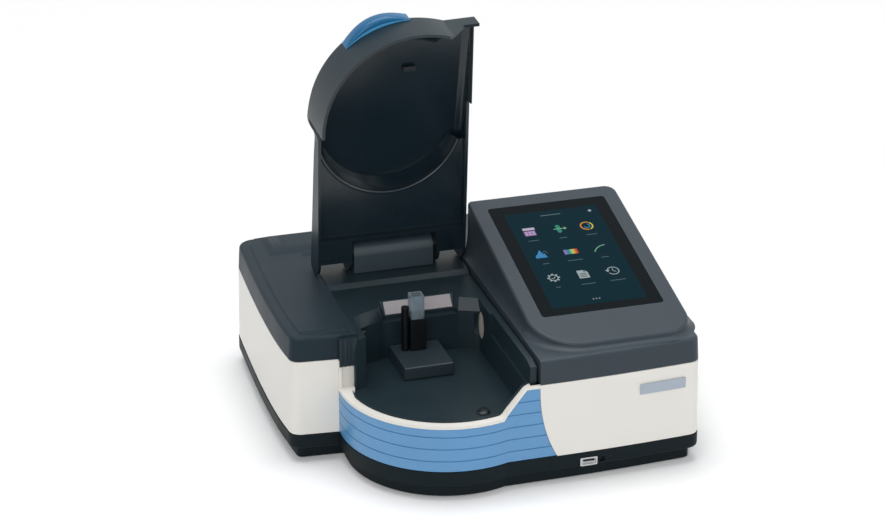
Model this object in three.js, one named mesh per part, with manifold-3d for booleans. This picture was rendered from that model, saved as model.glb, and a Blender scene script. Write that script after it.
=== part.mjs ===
// Benchtop ultraviolet and visible light spectrophotometer: white case, dark covers, a blue front
// band round the sample bay, a tilted touch display and a lid that stands open over the bay.
// Millimetres, +Z up. The origin is on the bench, under the middle of the instrument.
import * as THREE from 'three';
import * as BufferGeometryUtils from 'three/addons/utils/BufferGeometryUtils.js';
import Module from 'manifold-3d';

const wasm = await Module();
wasm.setup();

// Driving dimensions of the body
const bodyHalfWidth = 184.5;
const bodyRear = 178;
const bodyFront = -169.5;
const bayReach = 93.5;
const bayY = bodyFront + bayReach;
const blockSetback = 14;
const leftFront = bayY + blockSetback;
const sideBulge = 5;
const sideDraft = 2.6;
const cornerRadius = 12;
const rearRadius = 20;
const footHeight = 2;
const skirtInset = 8;
const skirtTop = 14.5;
const baseTop = 29.5;
const bandTop = 73.3;
const caseTop = 104.1;
const coverTop = 128;
const wall = 3;
const gap = 0.3;
const slack = 0.6;
const overrun = 5;

// Sample bay in plan, and the flat front beside it
const bayX = -39;
const bayRadius = 99;
const rimWidth = 8;
const rimHeight = 3;
const jogX = bayX - bayRadius;
const seamX = 23.5;
const bandRecess = 1.8;
const bandStep = 7.5;

// Well, deck and rails
const wellFloor = 73;
const floorThickness = 3;
const wellLeft = -112;
const wellRight = 13;
const wellBack = -13;
const wellCorner = 30;
const wellLip = 110;
const facetZ = 113;
const ledgeZ = 103;
const lipDepth = 12;
const deckTop = 124;
const deckStepY = 41;
const rearDeckTop = 128.4;
const deckLeft = -119.5;
const deckRear = 104;
const railLeft = 15.5;
const railRight = 21.5;
const railSetback = 4.5;
const railFront = bodyFront + railSetback;
const railTop = 124;
const railDrop = 3;
const railSlope = 12;
const ledgeWidth = 2.5;

// Lid, in its closed place
const hingeY = 76.6;
const hingeZ = 146;
const openAngle = THREE.MathUtils.degToRad(86);
const lidLeft = -124.5;
const lidRight = 23.5;
const lidSetback = 0.5;
const lidFront = bodyFront + lidSetback;
const lidJog = -50;
const lidWall = 2.8;
const lidHeel = 17.2;
const lidRimZ = 128.8;
const lidX = -41;
const lidForward = 6.5;
const lidY = bayY - lidForward;
const lidRadius = 93;
const lidSideZ = 121;
const lidSideWall = 1.6;
const skirtBottom = 76.9;
const skirtCorner = -80.4;
const wingBottom = 104.6;
const wingStart = 9;
const wingSlope = 22;
const lidTopRear = 162.9;
const lidTopMid = 152.5;
const lidTopMidY = -31;
const lidTopFront = 128;
const ringEdgeZ = 118;
const ringDropRun = 17;
const ringDropFrom = lidFront + ringDropRun;
const ringShoulder = 24;
const sideShoulder = 7;
const notchLeft = -90.5;
const notchRight = -5.5;
const notchFront = 56;
const hingeBlockLeft = -88;
const hingeBlockRight = -8;
const dishX = -53;
const dishY = -62;
const dishRadius = 71;
const dishSlope = 8.5;
const linerLift = 6;
const linerThickness = 1.8;
const pinRadius = 4;
const pinLength = 26;

// Display pod on the right cover
const podTilt = THREE.MathUtils.degToRad(13.1);
const glassWidth = 119.3;
const glassHeight = 173.6;
const glassThickness = 2;
const screenWidth = 94.2;
const screenHeight = 150.8;
const screenThickness = 4;
const glassCorner = 3;
const screenCorner = 1;
const podX = 104.2;
const podY = -28.7;
const podZ = 163.6;
const podWidth = 151;
const podFrontReach = 132;
const podRearReach = 104.4;
const podFrontRadius = 46;
const podRearRadius = 5;

// Sample holder and optics
const cellX = -51.3;
const cellY = -24.6;
const beamZ = 109.5;
const cellWidth = 12.5;
const cellHeight = 45;
const cellBottom = 96;
const cellWall = 1.25;

// Colours and finishes
const material = (color, roughness,
  metalness) => new THREE.MeshStandardMaterial({ color, roughness, metalness });
const finishes = {
  white: material(0xded9d2, 0.4, 0),
  dark: material(0x4a4f57, 0.5, 0),
  lid: material(0x3c4045, 0.45, 0),
  black: material(0x1b1e21, 0.6, 0),
  base: material(0x23282b, 0.6, 0),
  blue: material(0x5f97cb, 0.4, 0),
  glass: material(0x0b0d10, 0.08, 0),
  screen: material(0x14303a, 0.3, 0),
  clear: material(0xbfd0d6, 0.1, 0),
  steel: material(0x9a9da0, 0.35, 1),
  aluminium: material(0x8d9093, 0.4, 1),
  plate: material(0x96918f, 0.6, 0),
  ivory: material(0xcfc9b4, 0.5, 0),
  rubber: material(0x16181a, 0.9, 0),
  board: material(0x1f5a3c, 0.6, 0),
  mirror: material(0xc8ccd0, 0.05, 1),
};

const object = new THREE.Group();

// Solids from three.js geometry, and back
function solid(geometry) {
  const bare = geometry.clone();
  bare.deleteAttribute('normal');
  bare.deleteAttribute('uv');
  const merged = BufferGeometryUtils.mergeVertices(bare, 1e-4);
  const vertProperties = new Float32Array(merged.attributes.position.array);
  const triVerts = new Uint32Array(merged.index.array);
  return new wasm.Manifold(new wasm.Mesh({ numProp: 3, vertProperties, triVerts }));
}

function geometryOf(body) {
  const data = body.getMesh();
  const geometry = new THREE.BufferGeometry();
  geometry.setAttribute('position', new THREE.BufferAttribute(new Float32Array(data.vertProperties), 3));
  geometry.setIndex(new THREE.BufferAttribute(new Uint32Array(data.triVerts), 1));
  return geometry;
}

// A solid turned about an axis through the origin and then moved
const axes = { x: new THREE.Vector3(1, 0, 0), y: new THREE.Vector3(0, 1, 0), z: new THREE.Vector3(0, 0, 1) };
function placed(body, axis, angle, x, y, z) {
  const geometry = geometryOf(body);
  geometry.applyMatrix4(new THREE.Matrix4().makeRotationAxis(axes[axis], angle));
  geometry.translate(x, y, z);
  return solid(geometry);
}

function addPart(name, body, finish) {
  const geometry = geometryOf(body);
  geometry.computeVertexNormals();
  const mesh = new THREE.Mesh(geometry, finishes[finish]);
  mesh.name = name;
  object.add(mesh);
  return mesh;
}

const joined = (...bodies) => bodies.reduce((sum, body) => sum.add(body));

// A block between two corners
function block(x0, x1, y0, y1, z0, z1) {
  const geometry = new THREE.BoxGeometry(x1 - x0, y1 - y0, z1 - z0);
  geometry.translate((x0 + x1) / 2, (y0 + y1) / 2, (z0 + z1) / 2);
  return solid(geometry);
}

// A round bar along x, y or z, centred on a point
function bar(axis, radius, length, x, y, z, sides = 24) {
  const geometry = new THREE.CylinderGeometry(radius, radius, length, sides);
  if (axis === 'x') geometry.rotateZ(Math.PI / 2);
  if (axis === 'z') geometry.rotateX(Math.PI / 2);
  geometry.translate(x, y, z);
  return solid(geometry);
}

// An upright prism from a plan outline
function prism(shape, z0, z1, segments = 12) {
  const geometry = new THREE.ExtrudeGeometry(shape,
    { depth: z1 - z0, bevelEnabled: false, curveSegments: segments });
  geometry.translate(0, 0, z0);
  return solid(geometry);
}

// A prism along x from an outline drawn in y and z
function sideways(shape, x0, x1, segments = 12) {
  const geometry = new THREE.ExtrudeGeometry(shape,
    { depth: x1 - x0, bevelEnabled: false, curveSegments: segments });
  geometry.applyMatrix4(new THREE.Matrix4().set(0, 0, 1, x0, 1, 0, 0, 0, 0, 1, 0, 0, 0, 0, 0, 1));
  return solid(geometry);
}

function roundedRectangle(x0, x1, y0, y1, radii) {
  const [a, b, c, d] = Array.isArray(radii) ? radii : [radii, radii, radii, radii];
  const shape = new THREE.Shape();
  shape.moveTo(x0 + a, y0);
  shape.lineTo(x1 - b, y0);
  shape.absarc(x1 - b, y0 + b, b, -Math.PI / 2, 0, false);
  shape.lineTo(x1, y1 - c);
  shape.absarc(x1 - c, y1 - c, c, 0, Math.PI / 2, false);
  shape.lineTo(x0 + d, y1);
  shape.absarc(x0 + d, y1 - d, d, Math.PI / 2, Math.PI, false);
  shape.lineTo(x0, y0 + a);
  shape.absarc(x0 + a, y0 + a, a, Math.PI, Math.PI * 3 / 2, false);
  return shape;
}

const disc = (x, y, radius) => {
  const shape = new THREE.Shape();
  shape.absarc(x, y, radius, 0, Math.PI * 2, false);
  return shape;
};

// A prism along y from an outline drawn in x and z
function frontways(shape, y0, y1, segments = 12) {
  const geometry = new THREE.ExtrudeGeometry(shape,
    { depth: y1 - y0, bevelEnabled: false, curveSegments: segments });
  geometry.rotateX(Math.PI / 2);
  geometry.translate(0, y1, 0);
  return solid(geometry);
}

// A closed skin through rings of points that all have the same count, lowest ring first. The top may
// be folded along a line across it.
function loft(rings, foldY = null) {
  const count = rings[0].length;
  const positions = rings.flat().flatMap((p) => [p.x, p.y, p.z]);
  const index = [];
  for (let level = 0; level + 1 < rings.length; level += 1) {
    for (let i = 0; i < count; i += 1) {
      const a = level * count + i;
      const b = level * count + (i + 1) % count;
      index.push(a, b, b + count, a, b + count, a + count);
    }
  }
  const last = (rings.length - 1) * count;
  const flat = (ring) => ring.map((p) => new THREE.Vector2(p.x, p.y));
  for (const [a, b, c] of THREE.ShapeUtils.triangulateShape(flat(rings[0]), [])) index.push(a, c, b);
  const top = rings.at(-1);
  const nearFold = slack / count;
  const all = top.map((p, i) => i);
  const faces = foldY === null ? [all] : [
    all.filter((i) => top[i].y <= foldY + nearFold), all.filter((i) => top[i].y >= foldY - nearFold),
  ];
  for (const face of faces) {
    for (const corners of THREE.ShapeUtils.triangulateShape(flat(face.map((i) => top[i])), [])) {
      index.push(...corners.map((corner) => last + face[corner]));
    }
  }
  const geometry = new THREE.BufferGeometry();
  geometry.setAttribute('position', new THREE.BufferAttribute(new Float32Array(positions), 3));
  geometry.setIndex(index);
  return solid(geometry);
}

// Points round an outline, without repeated ones
const pointSpacing = 0.01;
function ringPoints(shape, segments) {
  const points = shape.getPoints(segments);
  return points.filter((point, i) => point.distanceTo(points.at(i - 1)) > pointSpacing);
}

// Plan of the body, grown by a draft. Counterclockwise from the left block's front corner.
const frontHalf = bodyHalfWidth - sideBulge * 0.6;
const rearHalf = bodyHalfWidth - sideBulge;
const rightFront = bodyFront + sideBulge;
const frontSlant = 1.5;
const bayDraft = 1;
function bodyOutline(grow, inset = 0) {
  const bayGrow = Math.min(grow + inset, bayDraft) - inset;
  const radius = bayRadius + bayGrow;
  const corner = cornerRadius + grow;
  const rearCorner = rearRadius + grow;
  const bayEnd = -Math.asin((bayY - bodyFront + bayGrow) / radius);
  const middle = (bodyRear + rightFront) / 2;
  const swell = bodyHalfWidth + sideBulge * 0.7 + grow;
  const shape = new THREE.Shape();
  shape.moveTo(-frontHalf - grow + corner, leftFront + frontSlant - grow);
  shape.lineTo(jogX - bayGrow, leftFront - frontSlant - grow);
  shape.lineTo(jogX - bayGrow, bayY);
  shape.absarc(bayX, bayY, radius, Math.PI, Math.PI * 2 + bayEnd, false);
  shape.lineTo(seamX, bodyFront - bayGrow);
  shape.quadraticCurveTo(seamX + podWidth / 2, bodyFront - grow, frontHalf + grow - corner,
    rightFront - grow);
  shape.quadraticCurveTo(frontHalf + grow, rightFront - grow, frontHalf + grow, rightFront - grow + corner);
  shape.quadraticCurveTo(swell, middle, rearHalf + grow, bodyRear + grow - rearCorner);
  shape.quadraticCurveTo(rearHalf + grow, bodyRear + grow, rearHalf + grow - rearCorner, bodyRear + grow);
  shape.lineTo(-rearHalf - grow + rearCorner, bodyRear + grow);
  shape.quadraticCurveTo(-rearHalf - grow, bodyRear + grow, -rearHalf - grow, bodyRear + grow - rearCorner);
  shape.quadraticCurveTo(-swell, middle, -frontHalf - grow, leftFront + frontSlant - grow + corner);
  shape.quadraticCurveTo(-frontHalf - grow, leftFront + frontSlant - grow,
    -frontHalf - grow + corner, leftFront + frontSlant - grow);
  return shape;
}
const bodySegments = 8;
const bodyRing = (grow, z, inset) => (
  ringPoints(bodyOutline(grow, inset), bodySegments).map((p) => new THREE.Vector3(p.x, p.y, z)));
const bodyLoft = (levels, inset = 0) => loft(levels.map(([grow, z]) => bodyRing(grow, z, inset)));

// Top of the white rim seen from the front: low round the bay, up a ramp to the case top
const rampLow = -11;
const rampHigh = 11;
function rimProfile(drop, right) {
  const shape = new THREE.Shape();
  const low = bandTop + rimHeight - drop;
  const high = caseTop - drop;
  const ease = (rampHigh - rampLow) / 3;
  shape.moveTo(jogX - overrun * 2, low);
  shape.lineTo(rampLow - ease / 2, low);
  shape.quadraticCurveTo(rampLow, low, rampLow + ease / 2, low + ease * 0.7);
  shape.lineTo(rampHigh - ease / 2, high - ease * 0.7);
  shape.quadraticCurveTo(rampHigh, high, rampHigh + ease, high);
  shape.lineTo(right, high);
  return shape;
}
function above(drop, right) {
  const shape = rimProfile(drop, right);
  shape.lineTo(right, coverTop * 2);
  shape.lineTo(jogX - overrun * 2, coverTop * 2);
  return shape;
}

// Base tray on four feet
const baseGrow = sideDraft + gap * 2;
const trayFloor = footHeight + wall;
const baseOuter = joined(
  bodyLoft([[baseGrow - skirtInset, footHeight], [baseGrow - skirtInset, skirtTop + gap]]),
  bodyLoft([[baseGrow - wall, skirtTop], [baseGrow, skirtTop + wall], [baseGrow, baseTop - gap]]),
);
const baseInner = joined(
  bodyLoft([[baseGrow - skirtInset - wall, trayFloor],
  [baseGrow - skirtInset - wall, skirtTop + wall + gap]]),
  bodyLoft([[baseGrow - wall * 2, skirtTop + wall], [baseGrow - wall, baseTop + overrun]]),
);
const usbX = 71.8;
const usbZ = 19;
const usbWidth = 13.2;
const usbHeight = 5.8;
const usbDepth = 17;
const usbFlange = 1.6;
const usbY = bodyFront - bayDraft;
const usbHole = block(usbX - usbWidth / 2 - gap, usbX + usbWidth / 2 + gap, usbY - overrun * 2,
  usbY + usbDepth,
  usbZ - usbHeight / 2 - gap, usbZ + usbHeight / 2 + gap);
addPart('base_tray', baseOuter.subtract(baseInner).subtract(usbHole), 'base');

const footRadius = 11;
const footInset = 32;
const footLeft = -bodyHalfWidth + footInset;
const footRight = bodyHalfWidth - footInset;
const footPlaces = {
  front_left: [footLeft, leftFront + footInset],
  bay: [bayX, bayY - bayRadius + footInset],
  front_right: [footRight, bodyFront + footInset],
  rear_left: [footLeft, bodyRear - footInset],
  rear_right: [footRight, bodyRear - footInset],
};
for (const [place, [x, y]] of Object.entries(footPlaces)) {
  const foot = bar('z', footRadius, footHeight - gap, x, y, (footHeight - gap) / 2, 20);
  addPart(`foot_${place}`, foot, 'rubber');
}

// White case: a drafted wall with the rim round the bay and a shallow seat for the blue band
const caseTopGrow = 1.3;
const caseOuter = bodyLoft([[sideDraft, baseTop], [caseTopGrow, caseTop]]);
const caseInner = bodyLoft([[sideDraft - wall, baseTop - overrun], [caseTopGrow - wall, caseTop + overrun]],
  wall);
const bayCut = frontways(above(0, rampHigh + (rampHigh - rampLow) / 3), bodyFront - overrun * 4,
  leftFront - frontSlant - sideDraft - wall);
const rimStrip = bodyLoft([[bayDraft, bandTop - overrun], [bayDraft, caseTop]])
  .subtract(bodyLoft([[-rimWidth, bandTop - overrun * 2], [-rimWidth, caseTop + overrun]]))
  .intersect(frontways(above(rimHeight, railLeft - gap), bodyFront - overrun * 4,
    leftFront - frontSlant - sideDraft))
  .intersect(block(jogX - overrun, railLeft - gap, bodyFront - overrun * 4, bayY, bandTop - overrun,
    caseTop - gap))
  .subtract(bayCut);
// At the bay's left end the case closes the corner with a panel, and the rim widens in front of it
const leftBlockFace = leftFront - frontSlant - sideDraft;
const cornerTop = 98;
const cornerEnd = -123;
const cornerDrop = 5.3;
const cornerY = leftBlockFace - cornerDrop;
const cornerMargin = 1.5;
const cornerPanel = block(jogX, deckLeft - gap * 2, leftBlockFace, leftBlockFace + wall, bandTop - overrun,
  cornerTop - gap);
function padPlan(grow) {
  const edge = cornerEnd - cornerMargin + grow;
  const shape = new THREE.Shape();
  shape.moveTo(jogX, leftBlockFace + wall + grow);
  shape.lineTo(jogX, bayY - rimWidth * 2);
  shape.lineTo(jogX + rimWidth + grow, bayY - rimWidth * 2);
  shape.lineTo(edge - cornerMargin, bayY);
  shape.lineTo(edge, cornerY - cornerMargin);
  shape.lineTo(edge, leftBlockFace + wall + grow);
  shape.closePath();
  return shape;
}
const rimPad = prism(padPlan(0), bandTop - overrun, bandTop + rimHeight);
const seatGrow = bayDraft - bandRecess;
const bandRight = 41;
const bandCurve = 24;
function bandOutline(inset) {
  const shape = new THREE.Shape();
  const low = baseTop + inset;
  const right = seamX - inset;
  shape.moveTo(jogX - overrun * 2, low);
  shape.lineTo(jogX - overrun * 2, bandTop - inset);
  shape.lineTo(rampLow + inset, bandTop - inset);
  shape.lineTo(rampHigh + inset, caseTop - rimHeight - inset);
  shape.lineTo(right, caseTop - rimHeight - inset);
  shape.quadraticCurveTo(bandCurve - inset, (low + caseTop) / 2 - bandStep, bandRight - inset, low);
  shape.closePath();
  return shape;
}
const bandZone = (inset) => frontways(bandOutline(inset), bodyFront - overrun * 4, bayY + gap - inset);
const bandSeat = bodyLoft([[overrun, baseTop - overrun], [overrun, caseTop]])
  .subtract(bodyLoft([[seatGrow, baseTop - overrun * 2], [seatGrow, caseTop + overrun]]))
  .intersect(bandZone(0));
const rearOpening = { left: -30, right: 152, low: 38, high: 94 };
const caseRearCut = block(rearOpening.left, rearOpening.right, bodyRear - wall * 3, bodyRear + overrun * 2,
  rearOpening.low, rearOpening.high);
const caseShell = caseOuter.subtract(caseInner).subtract(bayCut).add(rimStrip).add(cornerPanel).add(rimPad)
  .subtract(bandSeat).subtract(caseRearCut);
addPart('case_shell', caseShell, 'white');

const band = bodyLoft([[bayDraft - gap, baseTop + gap], [bayDraft - gap, caseTop]])
  .subtract(bodyLoft([[seatGrow + gap, baseTop - overrun], [seatGrow + gap, caseTop + overrun]]))
  .intersect(bandZone(gap));
addPart('front_band', band, 'blue');

// Dark top covers: one over the left block and the back, one over the right block with the pod
const coverGrow = 1.2;
const coverRound = 3;
const flangeDepth = 9;
const coverSkin = bodyLoft([
  [coverGrow, caseTop + gap], [gap, coverTop - coverRound * 2], [0, coverTop - coverRound],
  [-coverRound / 3, coverTop - coverRound / 3], [-coverRound, coverTop],
]);
const coverHollow = bodyLoft([[coverGrow - wall, caseTop - overrun], [-wall, coverTop - wall]]);
const farBack = bodyRear * 2;
const leftPlan = (inset) => joined(
  block(-farBack, deckLeft - gap - inset, leftFront - frontSlant - coverGrow, farBack, 0, farBack),
  block(-farBack, seamX - gap - inset, deckRear + gap + inset, farBack, 0, farBack),
);
const rightPlan = (inset) => block(seamX + gap + inset, farBack, -farBack, farBack, 0, farBack);
const underFlange = (plan) => plan(0).subtract(block(-farBack, farBack, -farBack, farBack, 0,
  coverTop - flangeDepth));
const leftHollow = coverHollow.intersect(joined(leftPlan(wall), leftPlan(0).subtract(underFlange(leftPlan))));
// A low raised panel on the left cover, higher behind the lid
const padInset = 8;
const padRise = 1.5;
const humpRise = 3.5;
const humpRun = 16;
const padZone = joined(
  block(-farBack, lidLeft - padRise, leftBlockFace + padInset, farBack, 0, farBack),
  block(-farBack, seamX - padInset, deckRear + padInset, farBack, 0, farBack),
);
const coverPad = bodyLoft([[-padInset, coverTop - wall / 2], [-padInset, coverTop],
  [-padInset - padRise, coverTop + padRise]])
  .intersect(padZone);
const humpSide = new THREE.Shape();
humpSide.moveTo(deckLeft - humpRun * 2, coverTop - wall / 2);
humpSide.lineTo(seamX - padInset, coverTop - wall / 2);
humpSide.lineTo(seamX - padInset, coverTop + humpRise);
humpSide.lineTo(deckLeft - humpRun, coverTop + humpRise);
humpSide.closePath();
const hump = frontways(humpSide, deckRear + padInset, bodyRear)
  .intersect(bodyLoft([[-padInset / 2, coverTop - wall], [-padInset / 2, coverTop],
    [-padInset, coverTop + humpRise + gap]]));
addPart('left_cover', coverSkin.intersect(leftPlan(0)).add(coverPad).add(hump).subtract(leftHollow), 'dark');

// The pod: a rounded wedge under the tilted display plane
const tiltRise = Math.tan(podTilt);
const podPlaneZ = (y) => podZ + (y - podY) * tiltRise;
const podPlan = (grow, rear) => roundedRectangle(
  podX - podWidth / 2 - grow, podX + podWidth / 2 + grow,
  podY - podFrontReach * Math.cos(podTilt) - grow, podY + podRearReach * Math.cos(podTilt) + grow,
  [podFrontRadius + grow, podFrontRadius * 0.6 + grow, rear + grow, rear + grow],
);
function podRing(grow, share, drop, rear = podRearRadius) {
  return ringPoints(podPlan(grow, rear), bodySegments).map((p) => {
    const base = coverTop - drop;
    return new THREE.Vector3(p.x, p.y, base + (podPlaneZ(p.y) - base) * share - (share === 1 ? drop : 0));
  });
}
const podFillet = 6;
const podRound = 1.6;
const podSkin = loft([
  podRing(podFillet, 0, podFillet / 4), podRing(podFillet, 0, 0), podRing(podFillet / 2, 0.12, 0),
  podRing(podRound, 0.4, 0), podRing(0, 0.88, 0), podRing(-podRound, 1, 0),
]);
const podHollow = loft([podRing(-wall, 0, wall * 2, podRearRadius * 3),
  podRing(-wall * 1.5, 1, wall, podRearRadius * 3)]);
const onDisplay = new THREE.Matrix4().makeTranslation(podX, podY, podZ)
  .multiply(new THREE.Matrix4().makeRotationX(podTilt));
function tilted(width, height, low, high, shiftY, radius) {
  const shape = roundedRectangle(-width / 2, width / 2, shiftY - height / 2, shiftY + height / 2, radius);
  const geometry = new THREE.ExtrudeGeometry(shape,
    { depth: high - low, bevelEnabled: false, curveSegments: 4 });
  geometry.translate(0, 0, low);
  geometry.applyMatrix4(onDisplay);
  return solid(geometry);
}
const glassDepth = glassThickness + gap;
const glassPocket = tilted(glassWidth + slack, glassHeight + slack, -glassDepth, overrun, 0, glassCorner);
const screenShift = -1.4;
const screenHole = tilted(screenWidth + slack, screenHeight + slack, -screenThickness * 2, overrun,
  screenShift, screenCorner);
const rightShell = coverSkin.subtract(coverHollow.intersect(rightPlan(wall)))
  .intersect(rightPlan(0))
  .add(podSkin.intersect(rightPlan(0)))
  .subtract(podHollow.intersect(rightPlan(wall)));
addPart('right_cover', rightShell.subtract(glassPocket).subtract(screenHole), 'dark');
addPart('display_glass', tilted(glassWidth, glassHeight, -glassThickness, 0, 0, glassCorner), 'glass');
const screenTop = -glassDepth;
addPart('lcd_panel', tilted(screenWidth, screenHeight, screenTop - screenThickness, screenTop, screenShift,
  screenCorner), 'screen');
const boardThickness = 1.6;
const displayBoardTop = screenTop - screenThickness - gap;
addPart('display_board', tilted(screenWidth, screenHeight * 0.7, displayBoardTop - boardThickness,
  displayBoardTop,
  screenShift, screenCorner), 'board');

// Deck and sample well in one moulding, hollow underneath
const floorBottom = wellFloor - floorThickness;
const bayGap = rimWidth + gap * 2;
function bayShape(inset, right, back) {
  const radius = bayRadius - bayGap - inset;
  const shape = new THREE.Shape();
  const front = bodyFront + bayGap + inset;
  const end = -Math.asin((bayY - front) / radius);
  shape.moveTo(bayX - radius, back);
  shape.lineTo(bayX - radius, bayY);
  shape.absarc(bayX, bayY, radius, Math.PI, Math.PI * 2 + end, false);
  shape.lineTo(right, front);
  shape.lineTo(right, back);
  shape.closePath();
  return shape;
}
const deckPlan = new THREE.Shape();
deckPlan.moveTo(deckLeft, leftBlockFace);
deckPlan.lineTo(railRight, leftBlockFace);
deckPlan.lineTo(railRight, deckRear);
deckPlan.lineTo(deckLeft, deckRear);
deckPlan.closePath();
const rearRise = new THREE.Shape();
rearRise.moveTo(deckStepY, deckTop - wall);
rearRise.lineTo(deckStepY, deckTop);
rearRise.lineTo(deckStepY + (rearDeckTop - deckTop), rearDeckTop);
rearRise.lineTo(deckRear, rearDeckTop);
rearRise.lineTo(deckRear, deckTop - wall);
rearRise.closePath();
const railPad = sideways(rearRise, deckLeft, railRight);
// The well's left wall flares out to the bay's corner, and a short post stands outside it
const flare = new THREE.Shape();
flare.moveTo(wellLeft + gap, leftBlockFace + wall);
flare.lineTo(wellLeft + gap, leftBlockFace - gap);
flare.lineTo(cornerEnd, cornerY);
flare.lineTo(cornerEnd - cornerMargin + gap, cornerY + wall - gap);
flare.lineTo(deckLeft, leftBlockFace);
flare.lineTo(deckLeft, leftBlockFace + wall);
flare.closePath();
const flareTop = new THREE.Shape();
const flareLow = 105;
flareTop.moveTo(cornerEnd - wall, floorBottom);
flareTop.lineTo(wellLeft + wall, floorBottom);
flareTop.lineTo(wellLeft + wall, deckTop);
flareTop.lineTo(deckLeft, deckTop);
flareTop.lineTo(cornerEnd - wall, flareLow);
flareTop.closePath();
const flareWall = prism(flare, floorBottom,
  deckTop).intersect(frontways(flareTop, bayY - overrun, leftBlockFace + wall));
const postLeft = -132;
const cornerPost = block(postLeft, deckLeft - cornerMargin, cornerY + cornerMargin,
  leftBlockFace + frontSlant - gap, cornerTop, deckTop)
  .add(block(deckLeft - wall, deckLeft + wall, cornerY + wall, leftBlockFace + frontSlant - gap, cornerTop,
    deckTop));
const floorSlab = prism(bayShape(0, railRight, leftBlockFace + overrun), floorBottom, wellFloor);
const rightWall = block(wellRight, railRight, railFront, leftBlockFace + overrun, floorBottom,
  caseTop + overrun)
  .intersect(prism(bayShape(0, railRight, leftBlockFace + overrun * 2), 0, farBack));
const railSide = new THREE.Shape();
railSide.moveTo(railFront, caseTop);
railSide.lineTo(leftBlockFace + overrun, caseTop);
railSide.lineTo(leftBlockFace + overrun, railTop);
railSide.lineTo(railFront + railSlope, railTop);
railSide.lineTo(railFront, railTop - railDrop);
railSide.closePath();
const railTall = sideways(railSide, railLeft, railRight);
const wellCavity = joined(
  prism(roundedRectangle(wellLeft, wellRight, leftBlockFace - overrun, wellBack,
  [gap, gap, wellCorner / 3, wellCorner]),
    wellFloor, farBack, 6),
);
// The upper part of the well widens to a faceted opening behind a narrow lip. Each table gives
// places as shares of the well's width, from its left wall, and of the lip's depth, from its back.
const wellWidth = wellRight - wellLeft;
const facetLowShares = [[0, -1.67], [0.064, -0.92], [0.24, -0.08], [0.28, 0.63], [0.826, 0.63], [0.846, 0],
  [1, -0.67]];
const facetHighShares = [[0, -0.75], [0.075, -0.32], [0.22, 0.32], [0.262, 1.46], [0.845, 1.46],
  [0.868, 0.55], [1, -0.13]];
function facetRing(shares, z) {
  const back = shares.map(([x, y]) => new THREE.Vector3(wellLeft + wellWidth * x, wellBack + lipDepth * y,
    z));
  const front = leftBlockFace - overrun;
  return [new THREE.Vector3(wellLeft, front, z), new THREE.Vector3(wellRight, front, z), ...back.reverse()];
}
const facetCavity = loft([
  facetRing(facetLowShares, wellLip), facetRing(facetLowShares, facetZ),
  facetRing(facetHighShares, deckTop), facetRing(facetHighShares, deckTop + overrun),
]);
const deckHollow = joined(
  block(deckLeft + wall, railRight - wall, wellBack + lipDepth + wall, deckRear - wall,
  floorBottom - overrun, deckTop - wall),
  block(deckLeft + wall, railRight - wall, wellBack + wall, deckRear - wall, floorBottom - overrun,
  wellLip - wall * 2),
);
const windowWidth = 17;
const windowHeight = 27;
const windowZ = 100;
const windowThickness = 1.5;
function windowDisc(grow, x0, x1) {
  const shape = new THREE.Shape();
  shape.absellipse(cellY, windowZ, windowWidth / 2 + grow, windowHeight / 2 + grow, 0, Math.PI * 2, false, 0);
  return sideways(shape, x0, x1, 20);
}
const windowSeat = windowThickness + gap;
const beamRadius = 3;
const beamHole = bar('x', beamRadius, farBack, deckLeft + cellHeight, cellY, beamZ, 16);
const windowSeats = joined(
  windowDisc(gap, wellRight - overrun, wellRight + windowSeat),
  windowDisc(gap, wellLeft - windowSeat, wellLeft + overrun),
);
// The seam of the case and its corner by the bay pass outside the tray
const ledgeCut = block(wellRight - overrun, wellRight + ledgeWidth, railFront, cellY - windowHeight, ledgeZ,
  farBack);
const deckBody = prism(deckPlan, floorBottom, deckTop).add(railPad)
  .add(floorSlab).add(rightWall).add(railTall)
  .add(flareWall).add(cornerPost)
  .subtract(wellCavity).subtract(facetCavity).subtract(deckHollow).subtract(ledgeCut)
  .subtract(windowSeats).subtract(beamHole);
const caseKeepout = bodyLoft([[overrun, 0], [overrun, caseTop]])
  .subtract(bodyLoft([[-bayGap, -overrun], [-bayGap, caseTop + gap]]))
  .intersect(block(-farBack, seamX, -farBack, bayY, 0, caseTop + gap));
const panelKeepout = block(jogX - overrun, deckLeft - gap, leftBlockFace - gap, leftBlockFace + wall + gap,
  0, cornerTop)
  .add(prism(padPlan(gap), 0, bandTop + rimHeight + gap));
addPart('well_tray', deckBody.subtract(caseKeepout).subtract(panelKeepout), 'black');

addPart('beam_window_right', windowDisc(0, wellRight + gap, wellRight + windowThickness), 'ivory');
addPart('beam_window_left', windowDisc(0, wellLeft - windowThickness, wellLeft - gap), 'ivory');

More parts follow.
